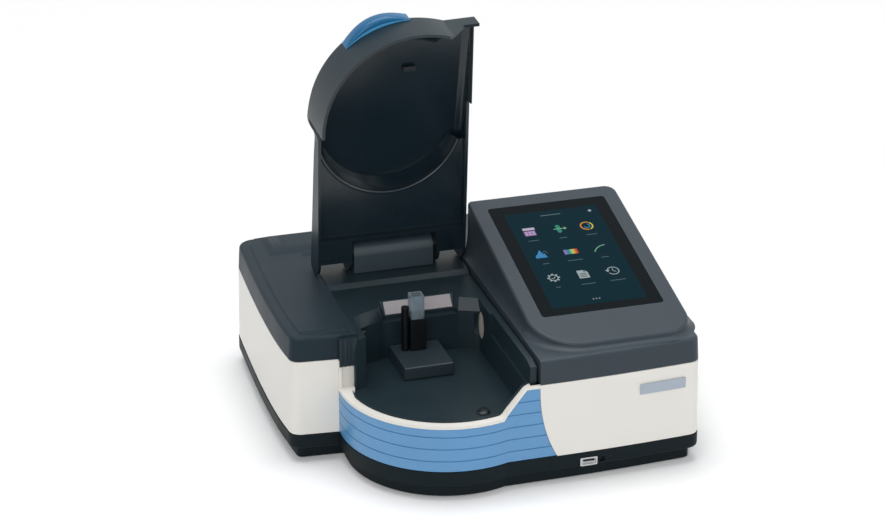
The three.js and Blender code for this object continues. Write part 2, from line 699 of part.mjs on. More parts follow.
// The lid, drawn in its closed place
const lidTopSlope = (lidTopMid - lidTopFront) / (lidTopMidY - lidFront);
const lidRearSlope = (lidTopRear - lidTopMid) / (hingeY - lidTopMidY);
const lidTopAt = (y) => (y < lidTopMidY
  ? lidTopMid + (y - lidTopMidY) * lidTopSlope
  : lidTopMid + (y - lidTopMidY) * lidRearSlope);
const lidSegments = 10;
const lidEnd = hingeY + lidHeel;
function lidOutline(inset) {
  const radius = lidRadius - inset;
  const end = Math.asin((lidY - lidFront - inset) / radius);
  const left = lidLeft + inset;
  const jog = lidX - radius;
  const shape = new THREE.Shape();
  shape.moveTo(left, lidEnd);
  shape.lineTo(left, lidTopMidY);
  shape.lineTo(left, lidJog);
  shape.bezierCurveTo(left, (lidJog + lidY) / 2, jog, (lidJog + lidY) / 2, jog, lidY);
  shape.absarc(lidX, lidY, radius, Math.PI, Math.PI * 2 - end, false);
  shape.lineTo(lidRight - inset, lidFront + inset);
  shape.lineTo(lidRight - inset, (lidFront + lidJog) / 2);
  shape.lineTo(lidRight - inset, lidJog);
  shape.lineTo(lidRight - inset, lidTopMidY);
  shape.lineTo(lidRight - inset, lidEnd);
  return shape;
}
// One ring of the crown: the shoulder is wide round the bay and narrow along the sides
function crownRing(inset, share, drop) {
  const near = ringPoints(lidOutline(inset), lidSegments);
  const far = ringPoints(lidOutline(inset + sideShoulder), lidSegments);
  return near.map((p, i) => {
    const round = p.x < seamX - ringShoulder ? THREE.MathUtils.smoothstep(-p.y, -lidJog,
      -lidY + ringShoulder) : 0;
    const fall = THREE.MathUtils.smoothstep(-p.y, -ringDropFrom, -lidFront + ringShoulder / 4);
    const reach = share * THREE.MathUtils.lerp(1, ringShoulder / sideShoulder, round);
    const x = THREE.MathUtils.lerp(p.x, far[i].x, reach);
    const y = THREE.MathUtils.lerp(p.y, far[i].y, reach);
    const top = lidTopAt(y);
    const edge = THREE.MathUtils.lerp(lidRimZ, ringEdgeZ, fall);
    const low = THREE.MathUtils.lerp(top - sideShoulder, edge, round);
    return new THREE.Vector3(x, y, THREE.MathUtils.lerp(low, top, Math.sqrt(share)) - drop);
  });
}
const lidFloor = skirtBottom - overrun;
function crown(inset, drop, bottom) {
  const skirt = ringPoints(lidOutline(inset), lidSegments).map((p) => new THREE.Vector3(p.x, p.y, bottom));
  const rings = [skirt, crownRing(inset, 0, drop), crownRing(inset, 0.3, drop), crownRing(inset, 1, drop)];
  return loft(rings, lidTopMidY);
}
const lidHollow = crown(lidWall, lidWall, lidFloor - overrun)
  .intersect(block(-farBack, farBack, -farBack, notchFront - lidWall, 0, farBack));
// Everything under the lid's edge: level behind, down round the bay, up again over the flat front
const edgeCut = new THREE.Shape();
edgeCut.moveTo(-farBack, lidFloor - overrun);
edgeCut.lineTo(farBack, lidFloor - overrun);
edgeCut.lineTo(farBack, wingBottom);
edgeCut.lineTo(wingStart, wingBottom);
edgeCut.lineTo(wingStart - wingSlope, skirtBottom);
edgeCut.lineTo(-farBack, skirtBottom);
edgeCut.closePath();
// What the right edge leaves free over the rail, and beside it where the wall is thin
function underEdge(z) {
  const shape = new THREE.Shape();
  shape.moveTo(lidFront + lidWall, lidFloor);
  shape.lineTo(skirtCorner + overrun, lidFloor);
  shape.lineTo(skirtCorner + overrun, z);
  shape.lineTo(lidFront + lidWall + railSlope, z);
  shape.lineTo(lidFront + lidWall, Math.min(z, railTop + slack - railDrop));
  shape.closePath();
  return shape;
}
const thinWallX = lidRight - lidSideWall;
const rightCut = sideways(underEdge(railTop + slack), wingStart, thinWallX)
  .add(sideways(underEdge(lidSideZ), thinWallX - gap, lidRight + overrun));
const heelRound = sideways(disc(hingeY, hingeZ, lidHeel), -farBack, farBack, 12);
const behindHinge = block(-farBack, farBack, hingeY, farBack, 0, farBack);
const notch = block(notchLeft, notchRight, notchFront, farBack, 0, farBack);
const pinHalf = pinLength / 2;
const pinHole = (x) => bar('x', pinRadius + gap, pinLength + slack, x, hingeY, hingeZ, 16);
const pinHoles = joined(pinHole(hingeBlockLeft), pinHole(hingeBlockRight));
// The legs are hollow behind their lower edge, with a web round the pin
const pocketLow = hingeZ - pinRadius - wall;
const pocketBack = hingeY + pinRadius + wall;
const heelPocket = (x0, x1) => block(x0, x1, hingeY + slack * 2, farBack, 0, pocketLow)
  .add(block(x0, x1, pocketBack, farBack, 0, farBack));
const heelPockets = joined(
  heelPocket(lidLeft + lidWall, notchLeft - lidWall), heelPocket(notchRight + lidWall, lidRight - lidWall),
);
const lidBody = crown(0, 0, lidFloor)
  .subtract(lidHollow)
  .subtract(behindHinge.subtract(heelRound))
  .subtract(block(-farBack, farBack, skirtCorner, farBack, 0, lidRimZ))
  .subtract(frontways(edgeCut, -farBack, skirtCorner + overrun))
  .subtract(rightCut)
  .subtract(notch)
  .subtract(heelPockets)
  .subtract(pinHoles);

const lid = new THREE.Group();
lid.position.set(0, hingeY, hingeZ);
lid.rotation.x = -openAngle;
object.add(lid);
function addToLid(name, body, finish) {
  const mesh = addPart(name, body, finish);
  mesh.geometry.translate(0, -hingeY, -hingeZ);
  lid.add(mesh);
}
addToLid('lid_shell', lidBody, 'lid');

// Liner: a flat panel that ends at the round dish over the sample, and the dish's sloping edge
const linerZ = lidRimZ + linerLift;
const lidCavity = crown(lidWall + gap, lidWall + gap, lidFloor - overrun)
  .intersect(block(-farBack, farBack, -farBack, notchFront - lidWall - gap, lidRimZ, farBack));
const dishHeight = lidTopMid - linerZ;
const dishCone = (grow, low) => {
  const height = lidTopMid - low;
  const lowRadius = dishRadius + (linerZ - low) * dishSlope / dishHeight + grow;
  const cone = new THREE.CylinderGeometry(dishRadius - dishSlope + grow, lowRadius, height, 64);
  cone.rotateX(Math.PI / 2);
  cone.translate(dishX, dishY, low + height / 2);
  return solid(cone);
};
const linerPlate = block(-farBack, farBack, dishY, farBack, linerZ, linerZ + linerThickness);
const linerBody = joined(linerPlate, dishCone(linerThickness, linerZ + linerThickness / 2))
  .subtract(dishCone(0, linerZ - overrun))
  .intersect(lidCavity)
  .intersect(block(-farBack, farBack, dishY + dishRadius / 3, farBack, 0, farBack));
addToLid('lid_liner', linerBody, 'lid');

// Blue finger grip, a crescent on the round front
const gripFrom = THREE.MathUtils.degToRad(229);
const gripTo = THREE.MathUtils.degToRad(270);
const gripBulge = 8;
const gripLow = 112;
const gripHigh = 128;
const gripSteps = 18;
function gripRing(bulge, z) {
  const outer = [];
  const inner = [];
  for (let i = 0; i <= gripSteps; i += 1) {
    const share = i / gripSteps;
    const angle = THREE.MathUtils.lerp(gripFrom, gripTo, share);
    const radius = lidRadius + gap;
    const back = lidRadius - lidWall;
    const swell = gap + bulge * Math.sin(Math.PI * share);
    outer.push(new THREE.Vector3(lidX + (radius + swell) * Math.cos(angle),
      lidY + (radius + swell) * Math.sin(angle), z));
    inner.unshift(new THREE.Vector3(lidX + back * Math.cos(angle), lidY + back * Math.sin(angle), z));
  }
  return [...outer, ...inner];
}
const gripBand = (gripHigh - gripLow) / 4;
addToLid('lid_grip', loft([
  gripRing(gripBulge / 2, gripLow), gripRing(gripBulge, gripLow + gripBand),
    gripRing(gripBulge, gripHigh - gripBand),
  gripRing(gripBulge / 3, gripHigh),
]).subtract(crown(-gap, -gap, lidFloor)), 'blue');

// A small magnet inside the front of the lid, which a sensor in the case feels
const magnetLength = 12;
const magnetWidth = 5;
const magnetDepth = 4;
const magnetY = lidFront + ringShoulder * 2;
const magnetX = bayX - wall;
addToLid('lid_magnet', block(magnetX, magnetX + magnetLength, magnetY, magnetY + magnetWidth,
  lidTopAt(magnetY) - lidWall - magnetDepth, farBack).intersect(lidCavity), 'steel');

// Hinge block between the lid's two legs, with a pin into each leg
const blockSide = new THREE.Shape();
const blockRadius = lidHeel - wall - slack;
blockSide.moveTo(hingeY - blockRadius, rearDeckTop + gap);
blockSide.lineTo(hingeY + blockRadius, rearDeckTop + gap);
blockSide.lineTo(hingeY + blockRadius, hingeZ);
blockSide.absarc(hingeY, hingeZ, blockRadius, 0, Math.PI, false);
blockSide.closePath();
addPart('hinge_block', sideways(blockSide, hingeBlockLeft, hingeBlockRight, 14).subtract(pinHoles), 'lid');
for (const [name, x] of [['hinge_pin_left', hingeBlockLeft], ['hinge_pin_right', hingeBlockRight]]) {
  addToLid(name, bar('x', pinRadius, pinLength, x, hingeY, hingeZ, 16), 'steel');
}

// Cell holder on the well floor, with a quartz cuvette standing in it
const holderLeft = 23.5;
const holderRight = 24.8;
const holderFront = 42;
const holderBack = 11;
const holderHeight = 12.7;
const towerSide = 15.6;
const towerTop = 118;
const holderZ = wellFloor + gap;
const towerZ = holderZ + holderHeight + gap;
addPart('cell_holder_base', block(cellX - holderLeft, cellX + holderRight, cellY - holderFront,
  cellY + holderBack,
  holderZ, holderZ + holderHeight), 'black');
const cellHole = (cellWidth + gap * 2) / 2;
const towerHalf = towerSide / 2;
const cellFloor = cellBottom - gap;
const beamBore = bar('x', beamRadius, towerSide * 2, cellX, cellY, beamZ, 16);
addPart('cell_holder_tower', block(cellX - towerHalf, cellX + towerHalf, cellY - towerHalf,
  cellY + towerHalf, towerZ, towerTop)
  .subtract(block(cellX - cellHole, cellX + cellHole, cellY - cellHole, cellY + cellHole, cellFloor, farBack))
  .subtract(beamBore), 'black');
const cellHalf = cellWidth / 2;
const cellInside = cellHalf - cellWall;
addPart('cuvette', block(cellX - cellHalf, cellX + cellHalf, cellY - cellHalf, cellY + cellHalf,
  cellBottom, cellBottom + cellHeight)
  .subtract(block(cellX - cellInside, cellX + cellInside, cellY - cellInside, cellY + cellInside,
    cellBottom + cellWall, farBack)), 'clear');
const postX = -63;
const postY = -27.5;
const postRadius = 3.7;
const postTop = 131;
addPart('cell_clamp_post', bar('z', postRadius, postTop - towerZ, postX, postY, (postTop + towerZ) / 2, 16),
  'black');

// Plain grey plate on the sloping back of the well, and a low round boss on the well floor
const plateMargin = 0.9;
const plateLeft = wellLeft + wellWidth * facetLowShares[3][0] + plateMargin;
const plateRight = wellLeft + wellWidth * facetLowShares[4][0] - plateMargin;
const plateThickness = 0.8;
const facetFrontY = wellBack + lipDepth * facetLowShares[3][1];
const facetBackY = wellBack + lipDepth * facetHighShares[3][1];
const facetLean = Math.atan2(deckTop - facetZ, facetBackY - facetFrontY);
const facetLength = Math.hypot(deckTop - facetZ, facetBackY - facetFrontY);
const plate = new THREE.BoxGeometry(plateRight - plateLeft, facetLength - plateMargin * 2, plateThickness);
plate.translate(0, 0, plateThickness / 2 + gap);
plate.rotateX(facetLean);
plate.translate((plateLeft + plateRight) / 2, (facetFrontY + facetBackY) / 2, (facetZ + deckTop) / 2);
addPart('well_plate', solid(plate), 'plate');
const domeX = -23.5;
const domeY = -148;
const domeRadius = 6.6;
const domeHeight = 3;
const dome = new THREE.CylinderGeometry(domeRadius * 0.6, domeRadius, domeHeight, 24);
dome.rotateX(Math.PI / 2);
dome.translate(domeX, domeY, wellFloor + gap + domeHeight / 2);
addPart('floor_dome', solid(dome), 'rubber');

// Socket shell: a box of sheet metal open at the front, with a tongue inside
function socket(x, y, z, width, height, depth, outward) {
  const sheet = gap * 2;
  const y0 = outward < 0 ? y : y - depth;
  const shell = block(x - width / 2, x + width / 2, y0, y0 + depth, z - height / 2, z + height / 2);
  const open = outward < 0 ? y0 - overrun : y0 + sheet;
  const close = outward < 0 ? y0 + depth - sheet : y0 + depth + overrun;
  const hole = block(x - width / 2 + sheet, x + width / 2 - sheet, open, close, z - height / 2 + sheet,
    z + height / 2 - sheet);
  return shell.subtract(hole);
}
addPart('usb_port_front', socket(usbX, usbY, usbZ, usbWidth, usbHeight, usbDepth, -1), 'steel');

// Bare plate on the right of the front
const labelInset = 40.7;
const labelX = bodyHalfWidth - labelInset;
const labelZ = 85.5;
const labelWidth = 45.5;
const labelHeight = 10.5;
const labelThickness = 0.8;
const labelReach = overrun * 2;
const labelZone = block(labelX - labelWidth / 2, labelX + labelWidth / 2, bodyFront - labelReach,
  bodyFront + labelReach,
  labelZ - labelHeight / 2, labelZ + labelHeight / 2);
const labelGrow = sideDraft + (caseTopGrow - sideDraft) * (labelZ - baseTop) / (caseTop - baseTop);
addPart('label_plate', bodyLoft([[labelGrow + labelThickness + gap * 2, labelZ - labelHeight],
  [labelGrow + labelThickness + gap * 2, labelZ + labelHeight]])
  .subtract(bodyLoft([[labelGrow + gap * 2, labelZ - labelReach * 2],
    [labelGrow + gap * 2, labelZ + labelReach * 2]]))
  .intersect(labelZone), 'plate');

// Rear panel in its opening, with the sockets, the switch and the fan
const panelThickness = 1.5;
const panelBack = bodyRear + panelThickness / 2;
const panelFront = panelBack - panelThickness;
const inletX = 124;
const inletZ = 56;
const inletWidth = 27.5;
const inletHeight = 20;
const inletDepth = 22;
const inletWall = 1.8;
const switchX = 88;
const switchWidth = 21;
const switchHeight = 15;
const switchDepth = 14;
const flangeReach = 2;
const flangeThickness = 1.4;
const portX = 58;
const lanX = 36;
const lanWidth = 16;
const lanHeight = 13.5;
const fanX = -3;
const fanZ = 66;
const fanSide = 50;
const fanDepth = 15;
const fanBore = 23;
const hubRadius = 10;
const bladeWidth = 1.6;
const bladeCount = 7;
const hole = (x, z, width, height) => block(x - width / 2 - gap, x + width / 2 + gap, panelFront - overrun,
  panelBack + overrun,
  z - height / 2 - gap, z + height / 2 + gap);
const grilleRadius = fanBore - wall;
const spoke = block(-fanBore, fanBore, panelFront - overrun * 2, panelBack + overrun * 2, -bladeWidth,
  bladeWidth);
const spokes = joined(...[0, 1, 2, 3].map((turn) => placed(spoke, 'y', turn * Math.PI / 4, fanX, 0, fanZ)));
const grilleRing = bar('y', grilleRadius * 0.6 + bladeWidth, overrun * 4, fanX, panelBack, fanZ, 32)
  .subtract(bar('y', grilleRadius * 0.6, overrun * 5, fanX, panelBack, fanZ, 32));
const grille = bar('y', grilleRadius, overrun * 2, fanX, panelBack, fanZ,
  32).subtract(spokes).subtract(grilleRing);
addPart('rear_panel', block(rearOpening.left + gap, rearOpening.right - gap, panelFront, panelBack,
  rearOpening.low + gap, rearOpening.high - gap)
  .subtract(hole(inletX, inletZ, inletWidth, inletHeight)).subtract(hole(switchX, inletZ, switchWidth,
    switchHeight))
  .subtract(hole(portX, inletZ, usbWidth, usbHeight)).subtract(hole(lanX, inletZ, lanWidth, lanHeight))
  .subtract(grille), 'steel');

// A housing through the panel with a flange outside it and a pocket that opens to the rear
function flanged(x, z, width, height, depth, shellWall) {
  const back = panelBack + gap + flangeThickness;
  const body = block(x - width / 2, x + width / 2, back - depth, back, z - height / 2, z + height / 2);
  const flange = block(x - width / 2 - flangeReach, x + width / 2 + flangeReach, panelBack + gap, back,
    z - height / 2 - flangeReach, z + height / 2 + flangeReach);
  const pocket = block(x - width / 2 + shellWall, x + width / 2 - shellWall, back - depth + shellWall,
    back + overrun,
    z - height / 2 + shellWall, z + height / 2 - shellWall);
  return body.add(flange).subtract(pocket);
}
const prongWidth = 2;
const prongHeight = 4;
const prongPitch = 7;
const prongReach = inletDepth - overrun;
const prongs = joined(...[-1, 0, 1].map((side) => block(
  inletX + side * prongPitch - prongWidth / 2, inletX + side * prongPitch + prongWidth / 2,
  panelBack - inletDepth + flangeThickness + gap, panelBack - inletDepth + prongReach,
  inletZ - prongHeight / 2 + Math.abs(side) * wall - wall / 2,
  inletZ + prongHeight / 2 + Math.abs(side) * wall - wall / 2,
)));
addPart('power_inlet', flanged(inletX, inletZ, inletWidth, inletHeight, inletDepth, inletWall).add(prongs),
  'black');
addPart('power_switch_frame', flanged(switchX, inletZ, switchWidth, switchHeight, switchDepth, inletWall),
  'black');
const rockerHalf = switchHeight / 2 - inletWall - slack * 2;
const rockerY = panelBack - overrun / 2;
const rockerRise = 4.2;
const rockerWidth = switchWidth - inletWall * 2 - slack * 2;
const rocker = new THREE.Shape();
rocker.moveTo(rockerY - wall, inletZ - wall);
rocker.lineTo(rockerY + rockerRise, inletZ - rockerHalf);
rocker.lineTo(rockerY + rockerRise - wall / 2, inletZ);
rocker.lineTo(rockerY + wall / 2, inletZ + rockerHalf);
rocker.lineTo(rockerY - wall, inletZ + wall);
rocker.closePath();
addPart('power_rocker', sideways(rocker, switchX - rockerWidth / 2, switchX + rockerWidth / 2), 'black');
addPart('usb_port_rear', socket(portX, panelBack + gap, inletZ, usbWidth, usbHeight, usbDepth, 1), 'steel');
addPart('lan_port_rear', socket(lanX, panelBack + gap, inletZ, lanWidth, lanHeight, usbDepth, 1), 'steel');

const fanBack = panelFront - gap;
const fanMiddle = fanBack - fanDepth / 2;
const fanHub = bar('y', hubRadius - wall, wall, fanX, fanBack - fanDepth + wall / 2, fanZ, 20);
const fanArm = block(-fanBore - bladeWidth, fanBore + bladeWidth, fanBack - fanDepth,
  fanBack - fanDepth + wall,
  -bladeWidth, bladeWidth);
const fanArms = joined(...[0, 1].map((turn) => placed(fanArm, 'y', turn * Math.PI / 2, fanX, 0, fanZ)));
addPart('fan_frame', block(fanX - fanSide / 2, fanX + fanSide / 2, fanBack - fanDepth, fanBack,
  fanZ - fanSide / 2, fanZ + fanSide / 2)
  .subtract(bar('y', fanBore, fanDepth + overrun, fanX, fanMiddle, fanZ, 32)).add(fanHub).add(fanArms),
    'black');
const rotorLength = fanDepth - wall * 2;
const rotorY = fanBack - bladeWidth - rotorLength / 2;
const bladeTurn = Math.PI / 6;
const blade = placed(block(hubRadius / 2, fanBore, -rotorLength, rotorLength, -bladeWidth / 2,
  bladeWidth / 2), 'x', bladeTurn, 0, 0, 0);
const blades = joined(...Array.from({ length: bladeCount }, (unused, i) => (
  placed(blade, 'y', i * Math.PI * 2 / bladeCount, fanX, rotorY, fanZ))));
addPart('fan_rotor', blades.add(bar('y', hubRadius, rotorLength, fanX, rotorY, fanZ, 20))
  .intersect(bar('y', fanBore - slack, rotorLength, fanX, rotorY, fanZ, 32)), 'black');
const screwRadius = 2.6;
const screwHead = 1.6;
for (const [side, x] of [['left', rearOpening.left + overrun], ['right', rearOpening.right - overrun]]) {
  const head = bar('y', screwRadius, screwHead, x, panelBack + gap + screwHead / 2,
    rearOpening.high - overrun, 16);
  addPart(`panel_screw_${side}`, head, 'steel');
}

// Optics plate on four columns, carrying the lamp, the filter wheel and the monochromator
const opticsLeft = 30;
const opticsMargin = 26.5;
const opticsRight = bodyHalfWidth - opticsMargin;
const opticsFront = -72;
const opticsBack = 150;
const opticsZ = 66;
const opticsThickness = 6;
const opticsTop = opticsZ + gap;
const boxTop = 118;
const columnRadius = 6;
const gratingX = 85;
const gratingY = 45;
const shaftRadius = 2.5;
const monoLeft = 40;
const monoRight = 130;
const monoFront = -10;
const monoBack = 78;
const slitX = 60;
const lampX = 110;
const boreClear = shaftRadius + gap * 2;
const shaftHole = bar('z', boreClear, farBack, gratingX, gratingY, 0, 16);
const columns = [opticsLeft + columnRadius, opticsRight - columnRadius].flatMap((x) => (
  [opticsFront + columnRadius, opticsBack - columnRadius * 4].map((y) => (
    bar('z', columnRadius, opticsZ - trayFloor - gap, x, y, (opticsZ + trayFloor + gap) / 2, 12)))));
const opticsPlate = block(opticsLeft, opticsRight, opticsFront, opticsBack, opticsZ - opticsThickness,
  opticsZ);
addPart('optics_plate', joined(opticsPlate, ...columns).subtract(shaftHole), 'aluminium');
const monoHoles = joined(
  bar('y', beamRadius, wall * 3, slitX, monoFront, beamZ, 12),
  bar('y', beamRadius, wall * 3, lampX, monoBack, beamZ, 12),
  shaftHole,
);
addPart('monochromator_housing', block(monoLeft, monoRight, monoFront, monoBack, opticsTop, boxTop)
  .subtract(block(monoLeft + wall, monoRight - wall, monoFront + wall, monoBack - wall, opticsTop + wall,
    farBack))
  .subtract(monoHoles), 'aluminium');
addPart('monochromator_lid', block(monoLeft, monoRight, monoFront, monoBack, boxTop + gap,
  boxTop + gap + wall), 'aluminium');
const slitSide = 16;
const slitThickness = 1;
const slitPlate = (x, y) => block(x - slitSide / 2, x + slitSide / 2, y, y + slitThickness,
  beamZ - slitSide / 2, beamZ + slitSide / 2)
  .subtract(block(x - gap, x + gap, y - overrun, y + overrun, beamZ - wall, beamZ + wall));
addPart('exit_slit', slitPlate(slitX, monoFront - gap - slitThickness), 'steel');
addPart('entrance_slit', slitPlate(lampX, monoBack + gap), 'steel');
const motorSide = 28;
const motorDepth = 22;
const motorTop = opticsZ - opticsThickness - gap;
const shaftSink = 6;
addPart('grating_motor', block(gratingX - motorSide / 2, gratingX + motorSide / 2, gratingY - motorSide / 2,
  gratingY + motorSide / 2,
  motorTop - motorDepth, motorTop).subtract(bar('z', shaftRadius + gap, shaftSink * 2, gratingX, gratingY,
  motorTop, 16)), 'black');
const gratingSide = 30;
const gratingThickness = 6;
const gratingLow = opticsTop + wall * 5;
const shaftLow = motorTop - shaftSink + gap;
const gratingTurn = Math.PI / 5;
const gratingBlank = block(-gratingSide / 2, gratingSide / 2, -gratingThickness / 2, gratingThickness / 2, 0,
  gratingSide)
  .add(bar('z', gratingThickness, wall, 0, 0, wall / 2, 16));
addPart('grating', placed(gratingBlank, 'z', gratingTurn, gratingX, gratingY, gratingLow)
  .add(bar('z', shaftRadius, gratingLow - shaftLow + wall, gratingX, gratingY,
    (gratingLow + shaftLow + wall) / 2, 16)), 'mirror');
// A mirror on a stand that turns the beam by a right angle
const mirrorSide = 18;
const mirrorThickness = 3;
const standSide = 14;
function mirrorStand(x, y, angle) {
  const glass = block(-mirrorSide / 2, mirrorSide / 2, -mirrorThickness / 2, mirrorThickness / 2,
    opticsTop, beamZ + mirrorSide / 2);
  const foot = block(-standSide / 2, standSide / 2, -mirrorThickness, mirrorThickness, opticsTop,
    opticsTop + wall);
  return placed(glass.add(foot), 'z', angle, x, y, 0);
}
const splitterX = slitX - mirrorSide * 1.3;
addPart('fold_mirror', mirrorStand(slitX, cellY, Math.PI / 4), 'mirror');
addPart('beam_splitter', mirrorStand(splitterX, cellY, Math.PI / 4), 'clear');
const detectorSide = 20;
addPart('reference_detector', block(splitterX - mirrorThickness * 2, splitterX + detectorSide,
  cellY - detectorSide * 2, cellY - detectorSide,
  opticsTop, boxTop).subtract(bar('y', beamRadius, wall * 4, splitterX + mirrorThickness,
  cellY - detectorSide, beamZ, 12)), 'black');
addPart('sample_detector', block(deckLeft - gap - detectorSide, deckLeft - gap, cellY - detectorSide / 2,
  cellY + detectorSide / 2,
  beamZ - detectorSide / 2 - wall, beamZ + detectorSide / 2 - wall)
  .subtract(bar('x', beamRadius, wall * 4, deckLeft - gap, cellY, beamZ, 12)), 'black');
const lampSide = 40;
const lampGap = 27;
const lampFront = monoBack + lampGap;
const lampY = lampFront + lampSide / 2;
addPart('lamp_housing', block(lampX - lampSide / 2, lampX + lampSide / 2, lampFront, lampFront + lampSide,
  opticsTop, boxTop)
  .subtract(block(lampX - lampSide / 2 + wall, lampX + lampSide / 2 - wall, lampFront + wall,
    lampFront + lampSide - wall,
    opticsTop + wall, farBack))
  .subtract(bar('y', beamRadius * 2, wall * 4, lampX, lampFront, beamZ, 16)), 'aluminium');
const lampBase = 11;
const lampBulb = 8;
const lampFoot = opticsTop + wall + gap;
addPart('xenon_lamp', bar('z', lampBase, lampSide / 2, lampX, lampY, lampFoot + lampSide / 4, 20)
  .add(bar('z', lampBulb, boxTop - lampFoot, lampX, lampY, (boxTop + lampFoot) / 2, 20)), 'steel');
const wheelRadius = 20;
const wheelPitch = 14;
const wheelThickness = 3;
const wheelZ = beamZ - wheelPitch;
const wheelY = monoBack + slitThickness + wheelThickness * 2;
const wheelHoles = joined(...[0, 1, 2, 3, 4, 5].map((step) => {
  const angle = step * Math.PI / 3;
  return bar('y', beamRadius, wheelThickness * 3, lampX + wheelPitch * Math.sin(angle), wheelY,
    wheelZ + wheelPitch * Math.cos(angle), 12);
}));
const wheelShaft = wheelThickness * 3;
addPart('filter_wheel', bar('y', wheelRadius, wheelThickness, lampX, wheelY, wheelZ, 32)
  .add(bar('y', shaftRadius, wheelShaft, lampX, wheelY + wheelShaft / 2, wheelZ, 16)).subtract(wheelHoles),
    'black');
const wheelMotorFront = wheelY + wheelThickness;
const wheelMotorHalf = lampBulb;
addPart('filter_motor', block(lampX - wheelMotorHalf, lampX + wheelMotorHalf, wheelMotorFront,
  lampFront - gap * 2,
  opticsTop, wheelZ + wheelMotorHalf)
  .subtract(bar('y', shaftRadius + gap, wheelShaft * 2 - wheelThickness, lampX, wheelMotorFront, wheelZ,
    16)), 'black');

// Power supply and main board on the base tray
const supplyMargin = 34.5;
const supplyLength = 90;
const supplyBox = {
  left: bodyHalfWidth - supplyMargin - supplyLength,
  right: bodyHalfWidth - supplyMargin,
  front: bodyFront + supplyMargin - cornerRadius,
  back: -84,
  height: 42,
};
addPart('power_supply', block(supplyBox.left, supplyBox.right, supplyBox.front, supplyBox.back,
  trayFloor + gap, trayFloor + supplyBox.height), 'steel');
const boardWidth = 126;
const boardMargin = 66.5;
const boardBox = {
  left: -bodyHalfWidth + boardMargin,
  right: -bodyHalfWidth + boardMargin + boardWidth,
  front: -70,
  back: 80,
  lift: 8,
};
const boardFeet = [boardBox.left + overrun, boardBox.right - overrun].flatMap((x) => (
  [boardBox.front + overrun, boardBox.back - overrun].map((y) => (
    bar('z', wall, boardBox.lift, x, y, trayFloor + gap + boardBox.lift / 2, 12)))));
const boardLow = trayFloor + boardBox.lift;
addPart('main_board', joined(block(boardBox.left, boardBox.right, boardBox.front, boardBox.back, boardLow,
  boardLow + boardThickness),
  ...boardFeet), 'board');

export default object;
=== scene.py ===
"""Looks of a benchtop ultraviolet and visible light spectrophotometer, +Z up.

Shapes are drawn in millimetres in the frame of the solids, and show() scales them to metres.
"""

import math

import bmesh
import bpy
from mathutils import Matrix, Vector


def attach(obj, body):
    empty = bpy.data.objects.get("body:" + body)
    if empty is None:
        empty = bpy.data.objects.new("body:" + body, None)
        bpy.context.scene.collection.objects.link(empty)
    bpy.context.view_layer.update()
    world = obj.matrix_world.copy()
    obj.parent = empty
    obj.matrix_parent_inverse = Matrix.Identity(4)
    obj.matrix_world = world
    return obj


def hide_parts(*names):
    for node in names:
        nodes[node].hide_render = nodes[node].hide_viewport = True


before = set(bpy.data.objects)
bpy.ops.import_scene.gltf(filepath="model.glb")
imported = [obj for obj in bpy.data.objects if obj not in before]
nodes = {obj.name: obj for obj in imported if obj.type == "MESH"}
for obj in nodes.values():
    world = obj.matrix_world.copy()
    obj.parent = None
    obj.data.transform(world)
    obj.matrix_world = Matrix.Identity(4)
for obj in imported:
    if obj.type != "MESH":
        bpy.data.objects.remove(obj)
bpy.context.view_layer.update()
MM = 0.001
PI = math.pi


# Camera, light and floor
CAMERA_PLACE = (-0.7002, -2.2585, 1.2144)
CAMERA_AZIMUTH, CAMERA_ELEVATION = 0.2934, 0.4201
CAMERA_LENS, CAMERA_SENSOR = 110.71, 36.0
# Name, place, point it faces, size in metres, power in watts
LAMPS = (
    ("overhead", (-0.1, 0.2, 2.3), (0, 0, 0.1), (2.0, 1.6), 46),
    ("front", (-1.2, -2.4, 1.5), (0, 0, 0.1), (1.6, 1.6), 28),
    ("side", (2.2, -1.6, 1.4), (0.1, 0, 0.1), (1.4, 1.6), 17),
)
SKY_COLOR, SKY_STRENGTH = (0.93, 0.96, 1.0, 1), 0.3
PAPER, FLOOR_SIDE = 0.93, 14
# Distances over which the floor turns from lit paper to plain white, and the share of white at both
FADE_START, FADE_END, FADE_LOW, FADE_HIGH = 0.28, 0.9, 0.12, 0.97


def add(nt, kind, values=None, **settings):
    """A new shader node, with its settings and the values of its inputs."""
    node = nt.nodes.new(kind)
    for name, value in settings.items():
        setattr(node, name, value)
    for name, value in (values or {}).items():
        node.inputs[name].default_value = value
    return node


def make_camera():
    data = bpy.data.cameras.new("camera")
    data.lens = CAMERA_LENS
    data.sensor_width = CAMERA_SENSOR
    data.clip_start = 0.1
    data.clip_end = 60.0
    cam = bpy.data.objects.new("camera", data)
    bpy.context.scene.collection.objects.link(cam)
    level = math.cos(CAMERA_ELEVATION)
    forward = Vector((math.sin(CAMERA_AZIMUTH) * level, math.cos(CAMERA_AZIMUTH) * level,
                      -math.sin(CAMERA_ELEVATION)))
    cam.location = Vector(CAMERA_PLACE)
    cam.rotation_euler = forward.to_track_quat("-Z", "Y").to_euler()
    bpy.context.scene.camera = cam


def area_light(name, place, target, size, power):
    data = bpy.data.lights.new(name, "AREA")
    data.shape = "RECTANGLE"
    data.size, data.size_y = size
    data.energy = power
    lamp = bpy.data.objects.new(name, data)
    bpy.context.scene.collection.objects.link(lamp)
    lamp.location = Vector(place)
    lamp.rotation_euler = (Vector(target) - Vector(place)).to_track_quat("-Z", "Y").to_euler()


def white_rays(nt):
    """One where the background is seen straight, in a reflection or through glass; nought for its light."""
    path = add(nt, "ShaderNodeLightPath")
    white = path.outputs["Is Camera Ray"]
    for kind in ("Is Glossy Ray", "Is Transmission Ray"):
        either = add(nt, "ShaderNodeMath", operation="MAXIMUM")
        nt.links.new(white, either.inputs[0])
        nt.links.new(path.outputs[kind], either.inputs[1])
        white = either.outputs[0]
    return white


